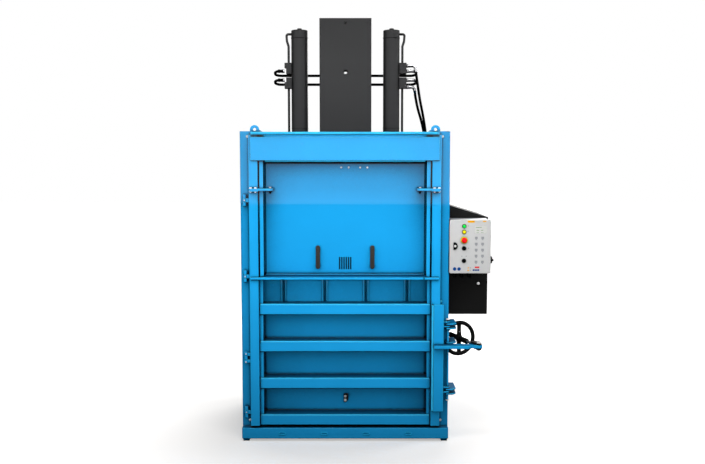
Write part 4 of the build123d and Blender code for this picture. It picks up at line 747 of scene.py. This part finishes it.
# Handwheel: a cast rim, two spokes that widen at the hub, and a hub with a collar at each end, with
# bright set screws.
wheel_at = 299.0
wheel_radius = 0.1156
rim_thick = 0.0148
spoke_back = 0.0055
wheel_centre = spindle_start + spindle_way * wheel_at / 1000
wheel_side = Vector((math.cos(spindle_tilt), math.sin(spindle_tilt), 0.0))
cast_coat = painted(
    "cast_black", (0.010, 0.010, 0.010), (0.03, 0.03, 0.03),
    roughness=0.35, peel_height=0.25, specular=0.04,
)
bm = bmesh.new()
stand = standing(wheel_centre + wheel_side * wheel_radius, wheel_side.cross(spindle_way))
section = bmesh.ops.create_circle(bm, segments=20, radius=rim_thick, matrix=stand)["verts"]
edges = list({edge for vert in section for edge in vert.link_edges})
bmesh.ops.spin(
    bm, geom=section + edges, cent=wheel_centre, axis=spindle_way, angle=math.tau,
    steps=72, use_merge=True,
)
spoke = (
    (-22, 14), (-18, 30), (-15.5, 56), (-15.5, 92), (-19, 110),
    (19, 110), (15.5, 92), (15.5, 56), (18, 30), (22, 14),
)
spoke_start = wheel_centre - spindle_way * spoke_back
for way in (-1, 1):
    outline = [spoke_start + wheel_side * x / 1000 + upward * way * z / 1000 for x, z in spoke]
    slab(bm, outline, spindle_way * 2 * spoke_back, edge=3.0, segments=3)
hub = (
    (-26, 9.4), (-26, 17), (-24.5, 19), (-16, 19.5), (-13, 24.6),
    (13, 24.6), (16, 19.5), (24.5, 19), (26, 17), (26, 9.4),
)
turned(bm, hub, wheel_centre, spindle_way, steps=40)
put("handwheel_cast", bm, cast_coat, "wheel", ["handwheel"])

chrome = painted(
    "chromed_steel", (0.78, 0.78, 0.80), (0.88, 0.88, 0.89),
    roughness=0.08, peel_height=0.02, metallic=1.0,
)
spoke_screw = ((0, 0), (0, 6.5), (3, 6), (5, 4), (5, 0))
hub_screw = ((23, 0), (23, 5.0), (26.5, 5.0), (27.5, 4.0), (27.5, 0))
bm = bmesh.new()
for way in (-1, 1):
    turned(bm, spoke_screw, spoke_start + upward * way * 0.047, -spindle_way, steps=16)
    turned(bm, hub_screw, wheel_centre, wheel_side * way, steps=16)
put("wheel_screws", bm, chrome, "wheel")

# Press plate, its guide beam and the chromed rods of the two cylinders. Flat bars stiffen the edges
# of the strap slits in the front of the plate.
dress(blue, "press_plate", "guide_beam")
dress(chrome, "piston_rods")
bm = bmesh.new()
for lane in strap_lanes:
    for bar_x in (lane - 16, lane + 16):
        bar = spots(210, oblong(bar_x - 4.5, bar_x + 4.5, 884, 1176))
        slab(bm, bar, Vector((0, -0.005, 0)), edge=1.6, segments=3)
put("slit_bars", bm, blue, "press")

# Mast, cylinders and pipes in anthracite paint, with painted shade on their flanks where they turn
# away from the light, and darker near the deck. A ring of bolts holds each flange and a seam closes
# each cap; the mast has its transport screw near the top.
anthracite = painted(
    "anthracite_coat", (0.052, 0.052, 0.053), (0.09, 0.09, 0.09), roughness=0.4, specular=0.06
)
tree = anthracite.node_tree
base_colour = tree.nodes["Principled BSDF"].inputs["Base Color"]
aside = tree.nodes.new("ShaderNodeLayerWeight")
flank = mapped(tree, aside.outputs["Facing"], 0.18, 0.50, 1.0, 0.25)
height = tree.nodes.new("ShaderNodeSeparateXYZ")
tree.links.new(tree.nodes.new("ShaderNodeTexCoord").outputs["Object"], height.inputs[0])
deck = mapped(tree, height.outputs["Z"], 2.15, 2.75, 0.62)
dimmed = scaled(tree, base_colour.links[0].from_socket, product(tree, flank, deck))
tree.links.new(dimmed, base_colour)
dress(anthracite, "guide_mast", "cylinder_barrels", "cylinder_caps", "cylinder_pipes", "port_blocks")
cylinder_x, port_y = 346, 560.0
cap_seam = ((-6, 62.6), (-3, 64.5), (3, 64.5), (6, 62.6))
foot_seam = ((-4, 62.6), (-2, 63.6), (2, 63.6), (4, 62.6))
plug_ring = ((0, 0), (0, 24), (3, 23), (3, 0))
bolt_circle = 0.0675
bm = bmesh.new()
for x in (-cylinder_x, cylinder_x):
    for k in range(8):
        angle = (k + 0.5) * math.tau / 8
        around = Vector((math.cos(angle), math.sin(angle), 0)) * bolt_circle
        hexagon(bm, spot(x, port_y, 2204) + around, upward, 5.0, 6.0, edge=0.5)
    turned(bm, cap_seam, spot(x, port_y, 2918), upward, steps=48)
    turned(bm, foot_seam, spot(x, port_y, 2245), upward, steps=48)
    turned(bm, plug_ring, spot(x, port_y, 2974), upward)
    hexagon(bm, spot(x, port_y, 2977), upward, 18.0, 12.0, edge=1.2)
put("cylinder_trim", bm, anthracite, "frame")
socket_screw = ((0, 0), (0, 8), (2.5, 8), (4, 6), (4, 3.4), (1, 3.4), (1, 0))
bm = bmesh.new()
turned(bm, socket_screw, spot(0, 487, 3022), toward_front, steps=24)
put("mast_screw", bm, black_coat, "frame")

# Hydraulic hoses and their ends. Each end has a nut and a crimped sleeve in bright steel; on the
# right the sleeves are longer and bend down with their hoses, on the left they are of rubber.
def swept(bm, places, radii, sides=16):
    """A round bar along places, as thick at each as its radius says, closed at both ends."""
    part = bmesh.new()
    way = (places[1] - places[0]).normalized()
    ring = bmesh.ops.create_circle(
        part, cap_ends=True, segments=sides, radius=radii[0] / 1000, matrix=standing(places[0], way)
    )["verts"]
    face = list({face for vert in ring for face in vert.link_faces})
    for i in range(1, len(places)):
        ahead = places[min(i + 1, len(places) - 1)]
        way_next = (ahead - places[i - 1]).normalized()
        made = bmesh.ops.extrude_face_region(part, geom=face)["geom"]
        grow = Matrix.Scale(radii[i] / radii[i - 1], 4)
        swing = way.rotation_difference(way_next).to_matrix().to_4x4()
        move = Matrix.Translation(places[i]) @ swing @ grow @ Matrix.Translation(-places[i - 1])
        end = only(bmesh.types.BMVert, made)
        bmesh.ops.transform(part, matrix=move, space=Matrix.Identity(4), verts=end)
        face = only(bmesh.types.BMFace, made)
        way = way_next
    join(bm, part)


hose_rubber = painted(
    "hose_rubber", (0.006, 0.006, 0.006), (0.02, 0.02, 0.02),
    roughness=0.5, peel_height=0.3, specular=0.0,
)
dress(hose_rubber, "cross_hoses", "supply_hoses")
port_face = 458.5
cross_levels = (2672, 2605)
bend_radii = (11.0, 13.2, 13.2, 12.0, 12.0, 12.4, 12.4, 11.2)
sleeve_radii = (11.0, 13.6, 13.6, 12.0, 12.0, 13.8, 13.8, 10.6)
wall_collar = ((-1, 10.2), (-1, 16.5), (3, 16.5), (5, 15), (9, 14), (10, 10.2))
bm = bmesh.new()
for z in cross_levels:
    hexagon(bm, spot(-port_face, port_y, z), (-1, 0, 0), 13.5, 13)
for z, bend in (
    (2712, ((516, 558, 2711), (528, 548, 2695), (534, 539, 2662))),
    (2672, ((512, 561, 2672), (526, 571, 2670), (533, 582, 2667))),
    (2605, ((512, 561, 2605), (526, 571, 2603), (533, 582, 2600))),
    (2553, ((511, 561, 2551), (522, 566, 2536), (528, 577, 2506))),
):
    hexagon(bm, spot(port_face, port_y, z), (1, 0, 0), 14.5, 15)
    straight = [spot(x, port_y, z) for x in (473, 475, 486, 488, 500)]
    swept(bm, straight + [spot(*place) for place in bend], bend_radii)
for y in (700, 735):
    turned(bm, wall_collar, spot(738, y, 1640), (-1, 0, 0), steps=24)
put("hose_ends", bm, chrome, "frame", ["hose_fittings"])
bm = bmesh.new()
for z in cross_levels:
    sleeve = [spot(-x, port_y, z) for x in (471.5, 473, 481, 483, 493, 495, 507, 510)]
    swept(bm, sleeve, sleeve_radii)
put("hose_sleeves", bm, hose_rubber, "frame")

# Power pack beside the body: a welded sheet housing in black paint, with a cover on a lift-off hinge
# and rows of pressed louvres in its side.
dress(black_coat, "pack_housing", "pack_cover", "pack_drive")
louvre_x = 1045
louvre_half = 80
bm = bmesh.new()
for row in range(9):
    z = 1300 + row * 26
    for y in (400.0, 640.0):
        outline = oblong(y - louvre_half, y + louvre_half, z, z + 2)
        near = [bm.verts.new(spot(louvre_x, across, up)) for across, up in outline]
        made = bmesh.ops.extrude_face_region(bm, geom=[bm.faces.new(near)])["geom"]
        far = only(bmesh.types.BMVert, made)
        bmesh.ops.translate(bm, verts=far, vec=(0.008, 0, -0.012))
        middle = Matrix.Translation(-spot(louvre_x, y, z))
        bmesh.ops.scale(bm, verts=far, vec=(1, 0.94, 1), space=middle)
bmesh.ops.bevel(
    bm, geom=bm.edges[:], offset=0.0006, segments=2, profile=0.5, affect="EDGES", material=-1
)
put("pack_louvres", bm, black_coat, "frame")

# Lock of the pack's cover: a zinc plated slotted core that turns in a ring of black plastic, in a hole
# of the sheet.
pack_lock = spot(978, 266, 1100)
core = ((0, 0), (0, 10.8), (6.0, 10.8), (7.0, 9.8), (7.1, 7.5), (6.2, 7.0), (6.2, 0))
core_ring = ((4.1, 11.2), (4.1, 20), (5.4, 20), (7.2, 17.5), (7.2, 11.2), (4.1, 11.2))
bm = bmesh.new()
turned(bm, core, pack_lock, toward_front)
put("pack_lock_core", bm, zinc_glint, "pack_latch", ["pack_lock"])
black_plastic = painted(
    "black_plastic", (0.004, 0.004, 0.004), (0.01, 0.01, 0.01),
    roughness=0.3, peel_height=0.05, specular=0.04,
)
bm = bmesh.new()
turned(bm, core_ring, pack_lock, toward_front)
put("pack_lock_ring", bm, black_plastic, "pack_latch")

# Control box: a folded sheet box and cover in pale grey, with a rubber seal between them and cable
# glands below.
pale_coat = painted(
    "pale_grey_coat", (0.545, 0.55, 0.55), (0.75, 0.75, 0.75), roughness=0.35, shade_amount=0.7
)
dress(pale_coat, "control_box", "control_cover")
bm = bmesh.new()
for x, z, width, height in (
    (884, 1580.5, 288, 3), (884, 1205.5, 288, 3), (740.5, 1393, 3, 372), (1027.5, 1393, 3, 372),
):
    strip = spots(54.6, rounded(x, z, width, height, 1.0, steps=2))
    slab(bm, strip, Vector((0, 0.0022, 0)))
put("cover_seal", bm, rubber, "frame")
gland = ((0, 0), (0, 14), (3, 14), (3.5, 11.5), (14, 11.5), (18, 9), (22, 7), (22, 0))
wall_gland = ((0, 5), (0, 10), (4, 9), (6, 5))
cable_run = ((150, 1185), (150, 1176), (153, 1168), (159, 1162), (168, 1159), (262, 1159))
bm = bmesh.new()
for x in (800, 850, 905):
    turned(bm, gland, spot(x, 150, 1203), downward, steps=24)
    swept(bm, [spot(x, y, z) for y, z in cable_run], [5.0] * len(cable_run))
    turned(bm, wall_gland, spot(x, 266, 1159), toward_front, steps=24)
put("cable_glands", bm, black_plastic, "frame")

# Push buttons: each stands in a turned bezel of black plastic in the panel, two with coloured lenses
# and two with dished black caps.
button_x = 841.0
panel_front = 40.0
green_z, yellow_z, raise_z, lower_z = 1538.5, 1498.0, 1381.5, 1293.0
ring = ((0, 12.4), (0, 15.5), (2.2, 15.5), (3.8, 14.2), (4.0, 13.4), (3.8, 12.4), (0, 12.4))
bm = bmesh.new()
for z in (green_z, yellow_z, raise_z, lower_z):
    turned(bm, ring, spot(button_x, panel_front, z), toward_front, steps=40)
put("button_rings", bm, black_plastic, "cover", ["button_bezels"])
lens_finish = {"roughness": 0.2, "peel_height": 0.02, "specular": 0.2}
green_plastic = painted("green_plastic", (0.01, 0.82, 0.07), (0.1, 0.9, 0.2), shade_amount=0.2, **lens_finish)
yellow_plastic = painted("yellow_plastic", (0.88, 0.82, 0.01), (1.0, 0.9, 0.1), shade_amount=0.4, **lens_finish)
lens = ((-4, 0), (-4, 11.9), (5, 11.9), (7.4, 11.0), (8.6, 9.0), (9.0, 6.0), (9.0, 0))
for name, z, material in (("green", green_z, green_plastic), ("yellow", yellow_z, yellow_plastic)):
    bm = bmesh.new()
    turned(bm, lens, spot(button_x, panel_front, z), toward_front, steps=40)
    put(name + "_lens", bm, material, name, [name + "_button"])
dished = (
    (-4, 0), (-4, 11.9), (6, 11.9), (8.2, 11.2), (9.0, 9.8),
    (8.6, 8.0), (7.6, 5.0), (7.2, 2.4), (8.0, 2.0), (8.0, 0),
)
for name, z in (("raise", raise_z), ("lower", lower_z)):
    bm = bmesh.new()
    turned(bm, dished, spot(button_x, panel_front, z), toward_front, steps=40)
    put(name + "_cap", bm, black_plastic, name, [name + "_button"])

# Emergency stop: a red plastic mushroom head with a moulded rim, that is pushed into a yellow collar
# on the panel.
red_plastic = painted(
    "red_plastic", (1.0, 0.010, 0.012), (1.0, 0.05, 0.05),
    roughness=0.22, peel_height=0.02, specular=0.15, shade_amount=0.2,
)
stop_place = spot(button_x, panel_front, 1439.5)
head = (
    (-4, 0), (-4, 9.8), (7.5, 9.8), (8.5, 17.0), (10.0, 19.4),
    (15.0, 19.4), (20.5, 18.2), (25.0, 14.5), (27.4, 9.0), (28.0, 0),
)
collar = ((0, 10.4), (0, 25.4), (2.4, 25.4), (4.0, 23.4), (4.0, 10.4), (0, 10.4))
bm = bmesh.new()
turned(bm, head, stop_place, toward_front, steps=48)
put("stop_head", bm, red_plastic, "stop", ["stop_button"])
bm = bmesh.new()
turned(bm, collar, stop_place, toward_front, steps=48)
put("stop_ring", bm, yellow_plastic, "cover", ["stop_collar"])

# Latch of the control cover: a wing of black plastic with one straight side, round a key core that
# turns with it, bright with a painted glint of its zinc plating.
latch_x, latch_z = 781.0, 1398.0
outline = [(-14, -26), (-6, -26)]
for k in range(13):
    angle = math.radians(-78 + 13 * k)
    outline.append((-6 + 19.8 * math.cos(angle), 26.0 * math.sin(angle)))
outline += [(-6, 26), (-14, 26)]
wing = spots(39.7, [(latch_x + x, latch_z + z) for x, z in outline])
bm = bmesh.new()
slab(bm, wing, Vector((0, -0.006, 0)), edge=1.2, segments=3)
put("latch_wing", bm, black_plastic, "latch", ["cover_latch"])
key_core = ((0, 0), (0, 8.4), (0.8, 8.4), (1.2, 7.6), (1.2, 2.0), (0.2, 2.0), (0.2, 0))
bm = bmesh.new()
turned(bm, key_core, spot(latch_x - 3, 33.7, latch_z), toward_front)
put("latch_core", bm, zinc_glint, "latch")

# Main switch on the right side of the box: a round boss of black plastic with a straight grip on it,
# on a shaft through the wall of the box.
switch_y, switch_z = 112, 1292
boss = ((0.5, 0), (0.5, 26), (18.0, 26), (20.0, 24.0), (20.0, 0))
grip_corners = ((-23, -7), (23, -6), (23, 6), (-23, 7))
bm = bmesh.new()
turned(bm, boss, spot(1030, switch_y, switch_z), (1, 0, 0), steps=48)
grip = [spot(1037.5, switch_y + y, switch_z + z) for y, z in grip_corners]
slab(bm, grip, Vector((0.0224, 0, 0)), edge=2.2, segments=3)
put("switch_grip", bm, black_plastic, "switch", ["main_switch"])

# Printed foil on the panel: a thin plastic film glued to the sheet, in plain fields of colour with no
# words or signs.
def foil(name, fields, colour):
    """Fields of one colour, as (x, z, width, height). A square one becomes a disc."""
    material = painted(
        name + "_foil", colour, colour,
        roughness=0.4, peel_height=0.0, dust_and_top_light=0.0, specular=0.1, shade_amount=0.2,
    )
    bm = bmesh.new()
    for x, z, width, height in fields:
        radius = min(width, height) * (0.5 if width == height else 0.2)
        field = spots(panel_front + 0.02, rounded(x, z, width, height, radius, steps=3))
        slab(bm, field, Vector((0, -0.0003, 0)))
    put(name + "_fields", bm, material, "cover")


orange_fields = ((889.5, 1571, 50, 14), (984, 1573, 25, 8), (872, 1243, 9, 8), (872, 1225, 11, 8))
foil("orange", orange_fields, (0.95, 0.44, 0.004))
foil("red", ((935, 1247, 32, 11),), (0.85, 0.03, 0.03))
blue_bars = ((911, 1227, 15, 11), (927, 1227, 13, 11), (943, 1227, 15, 11))
blue_discs = ((776, 1235, 25, 25), (807, 1235, 25, 25))
foil("blue", blue_bars + blue_discs, (0.006, 0.055, 0.24))
foil("pale", ((957.5, 1515, 88, 56),), (0.60, 0.61, 0.58))
green_bars = (
    (943, 1530, 42, 4), (937, 1510, 16, 5), (967, 1510, 16, 5), (936, 1494, 14, 3), (968, 1494, 16, 3),
)
foil("green", green_bars, (0.16, 0.42, 0.10))
grey_fields = [(870, 1541, 7, 6), (868, 1503, 7, 6)]
for row in range(5):
    z = 1456 - row * 42.5
    for x in (927.0, 972.0):
        grey_fields += [(x, z, 19, 17), (x, z - 13, 11, 4)]
for x, z in ((874, 1383), (826, 1326), (857, 1326), (887, 1243), (887, 1226)):
    grey_fields.append((x, z, 7, 6))
foil("grey", grey_fields, (0.30, 0.31, 0.33))
